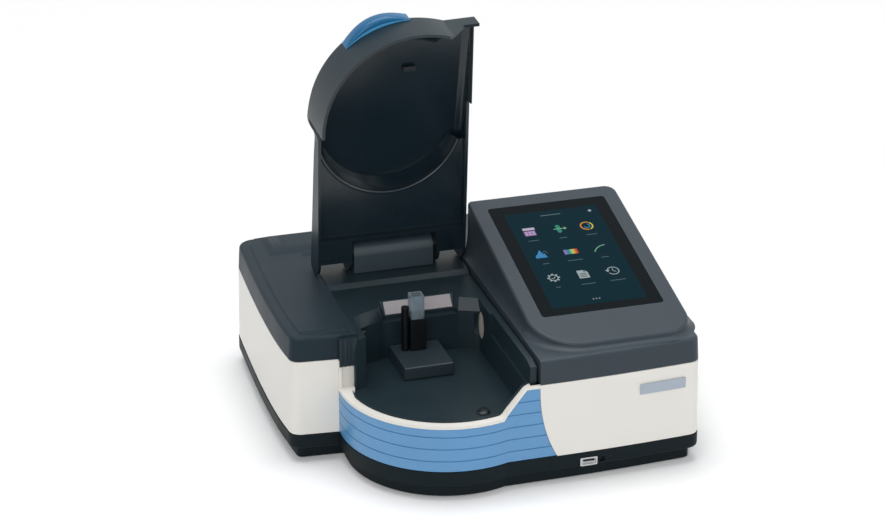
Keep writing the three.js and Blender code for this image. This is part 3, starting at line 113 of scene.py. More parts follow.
def make_world():
    world = bpy.data.worlds.new("studio")
    bpy.context.scene.world = world
    world.use_nodes = True
    nt = world.node_tree
    nt.nodes.clear()
    out = add(nt, "ShaderNodeOutputWorld")
    mix = add(nt, "ShaderNodeMixShader")
    soft = add(nt, "ShaderNodeBackground", {"Color": SKY_COLOR, "Strength": SKY_STRENGTH})
    white = add(nt, "ShaderNodeBackground", {"Color": (1, 1, 1, 1), "Strength": 1.0})
    nt.links.new(white_rays(nt), mix.inputs[0])
    nt.links.new(soft.outputs[0], mix.inputs[1])
    nt.links.new(white.outputs[0], mix.inputs[2])
    nt.links.new(mix.outputs[0], out.inputs[0])


def floor_paper():
    """White paper that takes the object's shadow near it and is plain white further off."""
    mat = bpy.data.materials.new("floor_paper")
    mat.use_nodes = True
    nt = mat.node_tree
    nt.nodes.clear()
    out = add(nt, "ShaderNodeOutputMaterial")
    mix = add(nt, "ShaderNodeMixShader")
    diffuse = add(nt, "ShaderNodeBsdfDiffuse", {"Color": (PAPER, PAPER, PAPER, 1)})
    glow = add(nt, "ShaderNodeEmission")
    coord = add(nt, "ShaderNodeTexCoord")
    away = add(nt, "ShaderNodeVectorMath", operation="LENGTH")
    nt.links.new(coord.outputs["Object"], away.inputs[0])
    fade = add(nt, "ShaderNodeMapRange", {"From Min": FADE_START, "From Max": FADE_END,
                                          "To Min": FADE_LOW, "To Max": FADE_HIGH})
    nt.links.new(away.outputs["Value"], fade.inputs["Value"])
    share = add(nt, "ShaderNodeMath", operation="MULTIPLY")
    nt.links.new(white_rays(nt), share.inputs[0])
    nt.links.new(fade.outputs["Result"], share.inputs[1])
    nt.links.new(share.outputs[0], mix.inputs[0])
    nt.links.new(diffuse.outputs[0], mix.inputs[1])
    nt.links.new(glow.outputs[0], mix.inputs[2])
    nt.links.new(mix.outputs[0], out.inputs[0])
    return mat


def make_studio():
    bpy.context.scene.view_settings.view_transform = "Standard"
    make_world()
    for lamp in LAMPS:
        area_light(*lamp)
    bpy.ops.mesh.primitive_plane_add(size=FLOOR_SIDE, location=(0, 0, 0))
    floor = bpy.context.object
    floor.name = "floor"
    floor.data.materials.append(floor_paper())


# Drawing, in millimetres
class Outline:
    """Points along lines, curves and arcs, in a plane."""
    def __init__(self, x, y):
        self.points = [(x, y)]

    def line(self, *stops):
        self.points += list(stops)
        return self

    def quad(self, cx, cy, x, y, steps):
        x0, y0 = self.points[-1]
        for i in range(1, steps + 1):
            t = i / steps
            a, b, c = (1 - t) ** 2, 2 * t * (1 - t), t * t
            self.points.append((a * x0 + b * cx + c * x, a * y0 + b * cy + c * y))
        return self

    def cubic(self, ax, ay, bx, by, x, y, steps):
        x0, y0 = self.points[-1]
        for i in range(1, steps + 1):
            t = i / steps
            a, b, c, d = (1 - t) ** 3, 3 * t * (1 - t) ** 2, 3 * t * t * (1 - t), t ** 3
            self.points.append((a * x0 + b * ax + c * bx + d * x, a * y0 + b * ay + c * by + d * y))
        return self

    def arc(self, cx, cy, radius, start, end, steps):
        for i in range(steps + 1):
            angle = start + (end - start) * i / steps
            point = (cx + radius * math.cos(angle), cy + radius * math.sin(angle))
            if i or math.dist(point, self.points[-1]) > 1e-4:
                self.points.append(point)
        return self

    def ring(self):
        same = math.dist(self.points[0], self.points[-1]) < 1e-3
        return self.points[:-1] if same else list(self.points)


def rounded(x0, x1, y0, y1, radii, steps):
    """A rectangle with rounded corners: one radius, or front left, front right, rear right and rear left."""
    a, b, c, d = radii if isinstance(radii, (tuple, list)) else (radii,) * 4
    o = Outline(x0 + a, y0).line((x1 - b, y0)).arc(x1 - b, y0 + b, b, -PI / 2, 0, steps)
    o.line((x1, y1 - c)).arc(x1 - c, y1 - c, c, 0, PI / 2, steps)
    o.line((x0 + d, y1)).arc(x0 + d, y1 - d, d, PI / 2, PI, steps)
    o.line((x0, y0 + a)).arc(x0 + a, y0 + a, a, PI, PI * 1.5, steps)
    return o.ring()


def disc(x, y, radius, steps):
    turns = [2 * PI * i / steps for i in range(steps)]
    return [(x + radius * math.cos(a), y + radius * math.sin(a)) for a in turns]


class Solid:
    """A closed mesh with cut, join and overlap, kept as plain data."""
    def __init__(self, mesh):
        self.mesh = mesh

    def _with(self, other, operation):
        a = bpy.data.objects.new("a", self.mesh)
        b = bpy.data.objects.new("b", other.mesh)
        for o in (a, b):
            bpy.context.scene.collection.objects.link(o)
        mod = a.modifiers.new("cut", "BOOLEAN")
        mod.operation = operation
        mod.solver = "MANIFOLD"
        mod.object = b
        graph = bpy.context.evaluated_depsgraph_get()
        mesh = bpy.data.meshes.new_from_object(a.evaluated_get(graph))
        bpy.data.objects.remove(a)
        bpy.data.objects.remove(b)
        return Solid(mesh)

    def __sub__(self, other):
        return self._with(other, "DIFFERENCE")

    def __add__(self, other):
        return self._with(other, "UNION")

    def __and__(self, other):
        return self._with(other, "INTERSECT")

    def outward(self):
        bm = bmesh.new()
        bm.from_mesh(self.mesh)
        if bm.calc_volume(signed=True) < 0:
            bmesh.ops.reverse_faces(bm, faces=bm.faces[:])
            bm.to_mesh(self.mesh)
        bm.free()
        return self

    def turned(self, matrix):
        mesh = self.mesh.copy()
        mesh.transform(matrix)
        return Solid(mesh).outward()


def loft(rings, fold_y=None):
    """A closed skin through rings of (x, y, z) with equal counts, lowest first."""
    count = len(rings[0])
    verts = [p for ring in rings for p in ring]
    faces = [tuple(reversed(range(count)))]
    for level in range(len(rings) - 1):
        for i in range(count):
            a, b = level * count + i, level * count + (i + 1) % count
            faces.append((a, b, b + count, a + count))
    top, last = rings[-1], (len(rings) - 1) * count
    if fold_y is None:
        faces.append(tuple(range(last, last + count)))
    else:
        near = 1e-4
        faces.append(tuple(last + i for i in range(count) if top[i][1] <= fold_y + near))
        faces.append(tuple(last + i for i in range(count) if top[i][1] >= fold_y - near))
    mesh = bpy.data.meshes.new("loft")
    mesh.from_pydata(verts, [], faces)
    return Solid(mesh).outward()


def prism(ring, z0, z1):
    return loft([[(x, y, z0) for x, y in ring], [(x, y, z1) for x, y in ring]])


def frontways(ring, y0, y1):
    """A prism along y from points in x and z."""
    return prism(ring, y0, y1).turned(Matrix(((1, 0, 0, 0), (0, 0, 1, 0), (0, 1, 0, 0), (0, 0, 0, 1))))


def sideways(ring, x0, x1):
    """A prism along x from points in y and z."""
    return prism(ring, x0, x1).turned(Matrix(((0, 0, 1, 0), (1, 0, 0, 0), (0, 1, 0, 0), (0, 0, 0, 1))))


def block(x0, x1, y0, y1, z0, z1):
    return prism([(x0, y0), (x1, y0), (x1, y1), (x0, y1)], z0, z1)


def bar(axis, radius, length, x, y, z, steps=48):
    """A round bar along one axis, with its middle at a point."""
    spin = {"x": Matrix.Rotation(PI / 2, 4, "Y"), "y": Matrix.Rotation(PI / 2, 4, "X"),
            "z": Matrix.Identity(4)}
    place = Matrix.Translation((x, y, z)) @ spin[axis]
    return prism(disc(0, 0, radius, steps), -length / 2, length / 2).turned(place)


def ring_tube(x, y, radius, tube, z):
    """A ring of round section, lying flat."""
    verts, faces, steps, sides = [], [], 128, 14
    for i in range(steps):
        a = 2 * PI * i / steps
        for k in range(sides):
            b = 2 * PI * k / sides
            r = radius + tube * math.cos(b)
            verts.append((x + r * math.cos(a), y + r * math.sin(a), z + tube * math.sin(b)))
            j, m = (i + 1) % steps, (k + 1) % sides
            faces.append([i * sides + k, j * sides + k, j * sides + m, i * sides + m])
    mesh = bpy.data.meshes.new("ring")
    mesh.from_pydata(verts, [], faces)
    return Solid(mesh).outward()


# Materials
MOTTLE = 25.0  # scale of the slow drift in colour and gloss
GRAIN_DEPTH, BRUSH_DEPTH = 0.0004, 0.0002
UNLIT = 0.12  # share of a screen colour that its surface shows without the glow


def srgb(r, g, b):
    def line(c):
        c /= 255.0
        return c / 12.92 if c <= 0.04045 else ((c + 0.055) / 1.055) ** 2.4
    return (line(r), line(g), line(b), 1.0)


def plastic(name, color, rough, grain, scale=1500, vary=0.05, specular=0.5, coat=0.0, rough_vary=0.08):
    """Moulded or painted surface: slow colour and gloss drift, and a fine grain in the bump."""
    mat = bpy.data.materials.new(name)
    mat.use_nodes = True
    nt = mat.node_tree
    bsdf = nt.nodes["Principled BSDF"]
    bsdf.inputs["Specular IOR Level"].default_value = specular
    bsdf.inputs["Coat Weight"].default_value = coat
    bsdf.inputs["Coat Roughness"].default_value = 0.12
    coord = add(nt, "ShaderNodeTexCoord")
    slow = add(nt, "ShaderNodeTexNoise", {"Scale": MOTTLE, "Detail": 3.0})
    nt.links.new(coord.outputs["Object"], slow.inputs["Vector"])
    low = [c * (1 - vary) for c in color[:3]] + [1]
    high = [min(1.0, c * (1 + vary)) for c in color[:3]] + [1]
    ramp = add(nt, "ShaderNodeMix", {"A": low, "B": high}, data_type="RGBA")
    nt.links.new(slow.outputs["Fac"], ramp.inputs["Factor"])
    nt.links.new(ramp.outputs["Result"], bsdf.inputs["Base Color"])
    gloss = add(nt, "ShaderNodeMapRange", {"To Min": max(0.02, rough - rough_vary),
                                           "To Max": rough + rough_vary})
    nt.links.new(slow.outputs["Fac"], gloss.inputs["Value"])
    nt.links.new(gloss.outputs["Result"], bsdf.inputs["Roughness"])
    fine = add(nt, "ShaderNodeTexNoise", {"Scale": scale, "Detail": 2.0})
    nt.links.new(coord.outputs["Object"], fine.inputs["Vector"])
    bump = add(nt, "ShaderNodeBump", {"Strength": grain, "Distance": GRAIN_DEPTH})
    nt.links.new(fine.outputs["Fac"], bump.inputs["Height"])
    nt.links.new(bump.outputs["Normal"], bsdf.inputs["Normal"])
    return mat


def brushed(name, color, rough, stretch=(40, 900, 900)):
    """Sheet metal with fine straight lines."""
    mat = bpy.data.materials.new(name)
    mat.use_nodes = True
    nt = mat.node_tree
    bsdf = nt.nodes["Principled BSDF"]
    bsdf.inputs["Metallic"].default_value = 1.0
    coord = add(nt, "ShaderNodeTexCoord")
    stretcher = add(nt, "ShaderNodeMapping", {"Scale": stretch})
    lines = add(nt, "ShaderNodeTexNoise", {"Scale": 1.0, "Detail": 3.0})
    nt.links.new(coord.outputs["Object"], stretcher.inputs["Vector"])
    nt.links.new(stretcher.outputs[0], lines.inputs["Vector"])
    low, high = [c * 0.86 for c in color[:3]] + [1], [min(1, c * 1.1) for c in color[:3]] + [1]
    tone = add(nt, "ShaderNodeMix", {"A": low, "B": high}, data_type="RGBA")
    nt.links.new(lines.outputs["Fac"], tone.inputs["Factor"])
    nt.links.new(tone.outputs["Result"], bsdf.inputs["Base Color"])
    gloss = add(nt, "ShaderNodeMapRange", {"To Min": rough - 0.08, "To Max": rough + 0.1})
    nt.links.new(lines.outputs["Fac"], gloss.inputs["Value"])
    nt.links.new(gloss.outputs["Result"], bsdf.inputs["Roughness"])
    bump = add(nt, "ShaderNodeBump", {"Strength": 0.15, "Distance": BRUSH_DEPTH})
    nt.links.new(lines.outputs["Fac"], bump.inputs["Height"])
    nt.links.new(bump.outputs["Normal"], bsdf.inputs["Normal"])
    return mat


def clear(name, color, rough=0.03, ior=1.46, weight=1.0):
    """Glass or a frosted cell."""
    mat = plastic(name, color, rough, grain=0.02, scale=300, vary=0.01, rough_vary=0.01)
    bsdf = mat.node_tree.nodes["Principled BSDF"]
    bsdf.inputs["Transmission Weight"].default_value = weight
    bsdf.inputs["IOR"].default_value = ior
    return mat


def lit(name, color, strength=0.58, specular=0.1):
    """Part of the screen's picture: it glows a little and lies under glass."""
    dull = [c * UNLIT for c in color[:3]]
    mat = plastic(name, dull, rough=0.14, grain=0.01, scale=300, specular=specular, rough_vary=0.02)
    bsdf = mat.node_tree.nodes["Principled BSDF"]
    bsdf.inputs["Emission Color"].default_value = color
    bsdf.inputs["Emission Strength"].default_value = strength
    return mat


mats = {
    "white": plastic("white_paint", srgb(222, 219, 212), 0.34, 0.05, 1400, 0.012, coat=0.15),
    "cover": plastic("slate_cover", srgb(35, 47, 54), 0.4, 0.2, specular=0.08),
    "pod": plastic("slate_pod", srgb(53, 62, 69), 0.38, 0.2, specular=0.2),
    "lid": plastic("charcoal_lid", srgb(26, 40, 47), 0.36, 0.18, specular=0.14),
    "hinge": plastic("slate_hinge", srgb(54, 66, 73), 0.36, 0.18, specular=0.42),
    # Dark teal of the lid's liner and inner faces: partly their own colour, partly painted shade for the
    # hollow under the open lid
    "lid_inside_and_shade": plastic("dark_lid_inside", srgb(19, 33, 40), 0.18, 0.04, vary=0.1, rough_vary=0.05),
    "tray": plastic("dark_tray", srgb(29, 43, 49), 0.34, 0.22, 1300, 0.07, specular=0.24),
    "foot": plastic("holder_foot", srgb(38, 50, 56), 0.36, 0.2, vary=0.06, specular=0.4),
    "holder": plastic("black_anodised", srgb(17, 24, 30), 0.34, 0.15, 1800, 0.08, specular=0.26),
    "tower": plastic("black_tower", srgb(6, 10, 14), 0.4, 0.1, 1800, 0.08, specular=0.2),
    "base": plastic("dark_base", srgb(13, 24, 28), 0.5, 0.3, 1200, 0.06, specular=0.12),
    "blue": plastic("blue_paint", srgb(85, 141, 187), 0.34, 0.05, 1400, 0.03, coat=0.2),
    # The grip is one blue shown as two copies: a darker one as painted shade, a lighter one as painted
    # highlight
    "blue_grip_shaded": plastic("blue_grip", srgb(4, 86, 130), 0.3, 0.08, 1400, 0.04, specular=0.3),
    "blue_grip_lit": plastic("blue_grip_painted_light", srgb(78, 158, 208), 0.3, 0.08, 1400, 0.04, specular=0.3),
    "rubber": plastic("rubber", srgb(24, 25, 27), 0.8, 0.5, 900, 0.12),
    "grey_plate": plastic("grey_plate", srgb(150, 145, 147), 0.5, 0.2, 1600),
    "pale_plate": plastic("pale_plate", srgb(160, 170, 182), 0.4, 0.1, 1600, 0.04),
    "ivory": plastic("ivory", srgb(186, 182, 166), 0.4, 0.1),
    "board": plastic("board", srgb(30, 84, 56), 0.45, 0.3, 500, 0.25),
    "steel": brushed("steel", (0.56, 0.56, 0.57), 0.28),
    "zinc": brushed("zinc_sheet", (0.5, 0.5, 0.51), 0.4, (120, 120, 120)),
    "aluminium": brushed("aluminium", (0.62, 0.63, 0.64), 0.36, (300, 40, 300)),
    "mirror": brushed("mirror", (0.86, 0.87, 0.9), 0.12, (1500, 20, 20)),
    "glass": plastic("cover_glass", srgb(5, 14, 18), 0.1, 0.01, 200, specular=0.06, rough_vary=0.02),
    "screen": lit("screen_glow", srgb(15, 43, 53), 0.8, 0.02),
    "icon_grey": lit("icon_grey", srgb(176, 190, 194), 0.55),
    "icon_dim": lit("icon_dim", srgb(92, 118, 126), 0.5),
    "icon_dark": lit("icon_dark", srgb(20, 44, 52), 0.7, 0.3),
    "quartz": clear("quartz", (0.93, 0.96, 0.97)),
    "cell": clear("frosted_cell", srgb(182, 196, 205), 0.2, 1.2, 0.8),
}
ICON_TONES = {
    "purple": (168, 122, 190), "lilac": (206, 196, 220), "green": (46, 150, 122), "mint": (132, 196, 160),
    "orange": (222, 150, 62), "yellow": (226, 208, 84), "blue": (62, 146, 204), "red": (214, 62, 44),
}
for tone, color in ICON_TONES.items():
    mats["icon_" + tone] = lit("icon_" + tone, srgb(*color))

# Which solids wear which look; those left out are the feet, of rubber
worn_by = {
    "base": "base_tray", "white": "case_shell", "blue": "front_band", "cover": "left_cover right_cover",
    "glass": "display_glass", "zinc": "lcd_panel rear_panel power_supply",
    "board": "display_board main_board", "tray": "well_tray",
    "ivory": "beam_window_right beam_window_left", "lid": "lid_shell", "lid_inside_and_shade": "lid_liner",
    "blue_grip_shaded": "lid_grip",
    "steel": "lid_magnet hinge_pin_left hinge_pin_right usb_port_front usb_port_rear lan_port_rear "
             "panel_screw_left panel_screw_right exit_slit entrance_slit xenon_lamp",
    "hinge": "hinge_block",
    "holder": "cell_holder_base floor_dome power_inlet power_switch_frame power_rocker fan_frame "
              "fan_rotor grating_motor reference_detector sample_detector filter_wheel filter_motor",
    "tower": "cell_holder_tower cell_clamp_post", "cell": "cuvette", "grey_plate": "well_plate",
    "pale_plate": "label_plate",
    "aluminium": "optics_plate monochromator_housing monochromator_lid lamp_housing",
    "mirror": "grating fold_mirror", "quartz": "beam_splitter",
}
look_of = {node: look for look, names in worn_by.items() for node in names.split()}
for node, obj in nodes.items():
    obj.data.materials.clear()
    obj.data.materials.append(mats[look_of.get(node, "rubber")])


# Pieces
WELD = 0.004  # points closer than this are one point
FACE_WEIGHT = 60  # how strongly large faces set the smooth shading


def show(name, solid, mat, body, node, bevel, angle=30, segments=2, smooth=40, clean=0.15):
    """Turns a solid into a piece: tidy faces, round its edges, smooth the rest, and hang it on its body."""
    bm = bmesh.new()
    bm.from_mesh(solid.mesh)
    bmesh.ops.remove_doubles(bm, verts=bm.verts, dist=WELD)
    bmesh.ops.dissolve_degenerate(bm, dist=WELD, edges=bm.edges)
    bmesh.ops.dissolve_limit(bm, angle_limit=math.radians(clean), verts=bm.verts, edges=bm.edges)
    bmesh.ops.scale(bm, vec=(MM, MM, MM), verts=bm.verts)
    mesh = bpy.data.meshes.new(name)
    bm.to_mesh(mesh)
    bm.free()
    piece = bpy.data.objects.new(name, mesh)
    bpy.context.scene.collection.objects.link(piece)
    if bevel:
        mod = piece.modifiers.new("round", "BEVEL")
        mod.width = bevel * MM
        mod.segments = segments
        mod.limit_method = "ANGLE"
        mod.angle_limit = math.radians(angle)
        mod.use_clamp_overlap = True
        mod.miter_outer = "MITER_ARC"
        bake(piece)
    for poly in piece.data.polygons:
        poly.use_smooth = True
    piece.data.set_sharp_from_angle(angle=math.radians(smooth))
    mod = piece.modifiers.new("even", "WEIGHTED_NORMAL")
    mod.keep_sharp = True
    mod.weight = FACE_WEIGHT
    bake(piece)
    piece.data.materials.clear()
    piece.data.materials.append(mats[mat])
    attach(piece, body)
    if node:
        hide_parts(node)
    return piece


def bake(piece):
    """Turns a piece's modifiers into its mesh."""
    graph = bpy.context.evaluated_depsgraph_get()
    mesh = bpy.data.meshes.new_from_object(piece.evaluated_get(graph))
    piece.modifiers.clear()
    piece.data = mesh


def lerp(a, b, t):
    return a + (b - a) * t


def smoothstep(x, low, high):
    t = max(0.0, min(1.0, (x - low) / (high - low)))
    return t * t * (3 - 2 * t)


# Sizes in millimetres, the same as in the solids: x runs to the right, y to the rear.
# The jog is the bay's left end, the seam parts the two covers, and the face is the front of the left block
HALF, REAR, FRONT, LEFT_FRONT = 184.5, 178.0, -169.5, -62.0
BULGE, DRAFT, CORNER, REAR_CORNER = 5.0, 2.6, 12.0, 20.0
BASE_TOP, BAND_TOP, CASE_TOP, COVER_TOP = 29.5, 73.3, 104.1, 128.0
WALL, GAP, FAR, OVER = 3.0, 0.3, 400.0, 5.0
BAY_X, BAY_Y, BAY_R = -39.0, -76.0, 99.0
RIM_W, RIM_H = 8.0, 3.0
RAMP_L, RAMP_R, RAMP_EASE = -11, 11, 22 / 3
SKIRT_IN = 0.55
SOCKET = (63.3, 80.4, 14.9, 23.7)
REAR_OPENING = (-30, 152, 38, 94)
GROOVES, GROOVE_DEPTH = (40.5, 52.8, 65.0, 77.3, 89.5), 0.85
JOG = BAY_X - BAY_R
AHEAD = FRONT - 20
SEAM = 23.5
FACE = LEFT_FRONT - 1.5 - DRAFT
DECK_LEFT, DECK_REAR, DECK_TOP = -119.5, 104.0, 124.0
WELL_L, WELL_R, WELL_BACK, FLOOR = -112.0, 13.0, -13.0, 73.0
RAIL_L, RAIL_R, RAIL_FRONT = 15.5, 21.5, -165.0


def body_outline(grow, inset):
    """The body from above, with the round bay at the front left and slightly swollen sides."""
    bay_grow = min(grow + inset, 1.0) - inset
    radius, corner, rear = BAY_R + bay_grow - 0.03, CORNER + grow, REAR_CORNER + grow
    front_half, rear_half, right_front = HALF - BULGE * 0.6, HALF - BULGE, FRONT + BULGE
    end = -math.asin((BAY_Y - FRONT + bay_grow) / radius)
    middle, swell = (REAR + right_front) / 2, HALF + BULGE * 0.7 + grow - 0.12
    left_face = LEFT_FRONT + 1.5 - grow
    o = Outline(-front_half - grow + corner, left_face)
    o.line((JOG - bay_grow, LEFT_FRONT - 1.5 - grow), (JOG - bay_grow, BAY_Y))
    o.arc(BAY_X, BAY_Y, radius, PI, PI * 2 + end, 84)
    o.line((SEAM, FRONT - bay_grow))
    o.quad(SEAM + 75.5, FRONT - grow, front_half + grow - corner, right_front - grow, 20)
    o.quad(front_half + grow, right_front - grow, front_half + grow, right_front - grow + corner, 12)
    o.quad(swell, middle, rear_half + grow, REAR + grow - rear, 24)
    o.quad(rear_half + grow, REAR + grow, rear_half + grow - rear, REAR + grow, 12)
    o.line((-rear_half - grow + rear, REAR + grow))
    o.quad(-rear_half - grow, REAR + grow, -rear_half - grow, REAR + grow - rear, 12)
    o.quad(-swell, middle, -front_half - grow, left_face + corner, 24)
    o.quad(-front_half - grow, left_face, -front_half - grow + corner, left_face, 12)
    return o.ring()


def body_loft(levels, inset=0.0):
    return loft([[(x, y, z) for x, y in body_outline(grow, inset)] for grow, z in levels])


def straight(grow, low, high):
    """The body's outline drawn straight up."""
    return body_loft([[grow, low], [grow, high]])


def rim_profile(drop, right):
    """Everything over the rim of the bay: level on the left, a ramp, then level under the cover."""
    low, high = BAND_TOP + RIM_H - drop, CASE_TOP - drop
    rise, top = RAMP_EASE * 0.7, COVER_TOP * 2
    o = Outline(JOG - 10, low).line((RAMP_L - RAMP_EASE / 2, low))
    o.quad(RAMP_L, low, RAMP_L + RAMP_EASE / 2, low + rise, 10).line((RAMP_R - RAMP_EASE / 2, high - rise))
    o.quad(RAMP_R, high, RAMP_R + RAMP_EASE, high, 10).line((right, high), (right, top), (JOG - 10, top))
    return o.ring()


# Base: an upper band with a rounded lip, and a skirt set back under it
def make_base():
    g = DRAFT + SKIRT_IN
    skirt = body_loft([[g - 8.6, 2.0], [g - 8, 2.6], [g - 8, 14.8]])
    upper = body_loft([[g - 3, 14.5], [g - 1.2, 15.3], [g - 0.4, 16.2], [g, 17.6],
                       [g, 28.6], [g - 0.3, 29.0], [g - 0.7, 29.2]])
    inner = straight(g - 11, 5, 17.8) + body_loft([[g - 6, 17.5], [g - 3, 34.5]])
    left, right, low, high = SOCKET
    port = block(left, right, FRONT - 12, FRONT + 17, low, high)
    notch = bar("y", 3.1, 5.0, 84.6, FRONT - 1.6, 20.2, 32)
    show("base_shell", skirt + upper - inner - port - notch, "base", "chassis", "base_tray", 0.35, 35, 2)


def band_outline(inset):
    """The blue band from the front, with its curved right end."""
    low, right, top = BASE_TOP + inset, SEAM - inset, CASE_TOP - RIM_H - inset
    o = Outline(JOG - 10, low).line((JOG - 10, BAND_TOP - inset), (RAMP_L + inset, BAND_TOP - inset),
                                    (RAMP_R + inset, top), (right, top))
    o.quad(24 - inset, (low + CASE_TOP) / 2 - 7.5, 41 - inset, low, 20)
    return o.ring()


def pad_plan(grow):
    """The white corner between the bay's rim and the left block, from above."""
    edge, back, front = -124.5 + grow, FACE + WALL + grow, BAY_Y - 16
    return [(JOG, back), (JOG, front), (JOG + 8 + grow, front), (edge - 1.5, BAY_Y),
            (edge, -72.9), (edge, back)]


# White case with the rim round the bay, and the blue band in its seat
def make_case():
    top = 1.3
    outer = body_loft([[DRAFT - 0.5, BASE_TOP], [DRAFT - 0.12, BASE_TOP + 0.2], [DRAFT, BASE_TOP + 0.8],
                       [top + 0.02, CASE_TOP - 0.8], [top - 0.12, CASE_TOP - 0.2], [top - 0.5, CASE_TOP]])
    inner = body_loft([[DRAFT - WALL, BASE_TOP - OVER], [top - WALL, CASE_TOP + OVER]], WALL)
    bay_cut = frontways(rim_profile(0, RAMP_R + RAMP_EASE), AHEAD, FACE - WALL)
    strip = straight(1.0, BAND_TOP - OVER, CASE_TOP) - straight(-RIM_W, BAND_TOP - 10, CASE_TOP + OVER)
    strip = strip & frontways(rim_profile(RIM_H, RAIL_L - GAP), AHEAD, FACE)
    strip = strip & block(JOG - OVER, RAIL_L - GAP, AHEAD, BAY_Y, BAND_TOP - OVER, CASE_TOP - GAP)
    strip = strip - bay_cut
    panel = block(JOG, DECK_LEFT - 0.6, FACE, FACE + WALL, BAND_TOP - OVER, 97.7)
    pad = prism(pad_plan(0), BAND_TOP - OVER, BAND_TOP + RIM_H) & straight(0.8, BASE_TOP, CASE_TOP)
    seat = frontways(band_outline(0), AHEAD, FACE - 0.2) - straight(-0.8, BASE_TOP - 10, CASE_TOP + OVER)
    left, right, low, high = REAR_OPENING
    rear = block(left, right, REAR - 9, REAR + 10, low, high)
    case = outer - inner - bay_cut + strip + panel + pad - seat - rear
    show("case_body", case, "white", "chassis", "case_shell", 0.55, 32, 3)

    face = 0.7
    levels, deep = [[0.4, BASE_TOP + 0.3], [face, BASE_TOP + 0.7]], face - GROOVE_DEPTH
    for z in GROOVES:
        levels += [[face, z - 0.6], [deep, z - 0.25], [deep, z + 0.25], [face, z + 0.6]]
    levels += [[face, CASE_TOP]]
    band = body_loft(levels) - straight(-0.5, BASE_TOP - OVER, CASE_TOP + OVER)
    band = band & frontways(band_outline(GAP), AHEAD, FACE - GAP)
    show("blue_band", band, "blue", "chassis", "front_band", 0.16, 50, 1)


# Dark covers
def cover_skin():
    """The rounded outside that both covers share."""
    r, curve = 3.4, []
    for i in range(7):
        t = PI / 2 * i / 6
        curve.append([-r * (1 - math.cos(t)), COVER_TOP - r + r * math.sin(t)])
    return body_loft([[0.9, CASE_TOP + 0.3], [1.15, CASE_TOP + 0.6], [1.1, 106], [0.3, 121]] + curve)


def cover_hollow():
    """The space under both covers."""
    return body_loft([[1.2 - WALL, CASE_TOP - OVER], [-WALL, COVER_TOP - WALL]])


def left_plan(inset):
    """What the left cover takes of the body: the left block, and the strip behind the deck."""
    return block(-FAR, DECK_LEFT - GAP - inset, LEFT_FRONT - 1.5 - 1.2, FAR, 0, FAR) + block(
        -FAR, SEAM - GAP - inset, DECK_REAR + GAP + inset, FAR, 0, FAR)


def make_left_cover(skin):
    low = block(-FAR, FAR, -FAR, FAR, 0, COVER_TOP - 9)
    hollow = cover_hollow() & (left_plan(WALL) + (left_plan(0) & low))
    inset, under, over = 8, COVER_TOP - 1.5, COVER_TOP + 3.5

    # A raised pad on the cover's top, and a soft hump behind the lid
    zone = block(-FAR, -126, FACE + inset, FAR, 0, FAR) + block(
        -FAR, SEAM - inset, DECK_REAR + 38, FAR, 0, FAR)
    rise = [[-inset, under], [-inset, COVER_TOP]]
    for i in range(1, 6):
        t = PI / 2 * i / 5
        rise.append([-inset - 2.6 * math.sin(t) - 0.3, COVER_TOP + 1.5 * (1 - math.cos(t))])
    pad = body_loft(rise) & zone
    ramp = [(DECK_LEFT - 32, under), (SEAM - inset, under), (SEAM - inset, over)]
    for i in range(11):
        t = i / 10
        ramp.append((DECK_LEFT - 16 - 26 * t, COVER_TOP + 1.3 + 2.2 * (1 - smoothstep(t, 0, 1))))
    rise = [(REAR, over), (REAR, under), (DECK_REAR + inset, under)]
    for i in range(17):
        t = i / 16
        rise.append((DECK_REAR + inset + 30 * t, COVER_TOP - 0.5 + 4.0 * smoothstep(t, 0, 1)))
    edge = [[-4, COVER_TOP - WALL], [-4, COVER_TOP], [-4.6, COVER_TOP + 1.4], [-6, COVER_TOP + 2.6],
            [-8.4, COVER_TOP + 3.4], [-11, COVER_TOP + 3.8]]
    hump = frontways(ramp, DECK_REAR + inset, REAR) & sideways(rise, -FAR, FAR) & body_loft(edge)
    cover = (skin & left_plan(0)) + pad + hump - hollow
    show("left_top_cover", cover, "cover", "chassis", "left_cover", 0.5, 32, 3, smooth=32)


POD_TILT = math.radians(13.1)
POD_X, POD_Y, POD_Z = 104.2, -28.7, 163.6
POD_HALF, POD_FRONT, POD_BACK = 75.5, 132, 104.4
POD_FOOT = 6
PANEL = Matrix.Translation((POD_X, POD_Y, POD_Z)) @ Matrix.Rotation(POD_TILT, 4, "X")


def pod_plane(y):
    """Height of the tilted plane that the display lies in."""
    return POD_Z + (y - POD_Y) * math.tan(POD_TILT)


def pod_ring(grow, share, drop, rear=5.0):
    """One level of the display pod, from the cover's top (share 0) to the tilted plane (share 1)."""
    c = math.cos(POD_TILT)
    plan = rounded(POD_X - POD_HALF - grow, POD_X + POD_HALF + grow,
                   POD_Y - POD_FRONT * c - grow, POD_Y + POD_BACK * c + grow,
                   (46 + grow, 27.6 + grow, rear * 2 + 1 + grow, rear + grow), 18)
    return [(x, y, COVER_TOP + (pod_plane(y) - COVER_TOP) * share - drop) for x, y in plan]


def tilted(width, height, low, high, shift, radius, steps=8):
    """A rounded plate in the tilted plane of the display."""
    plan = rounded(-width / 2, width / 2, shift - height / 2, shift + height / 2, radius, steps)
    return prism(plan, low, high).turned(PANEL)


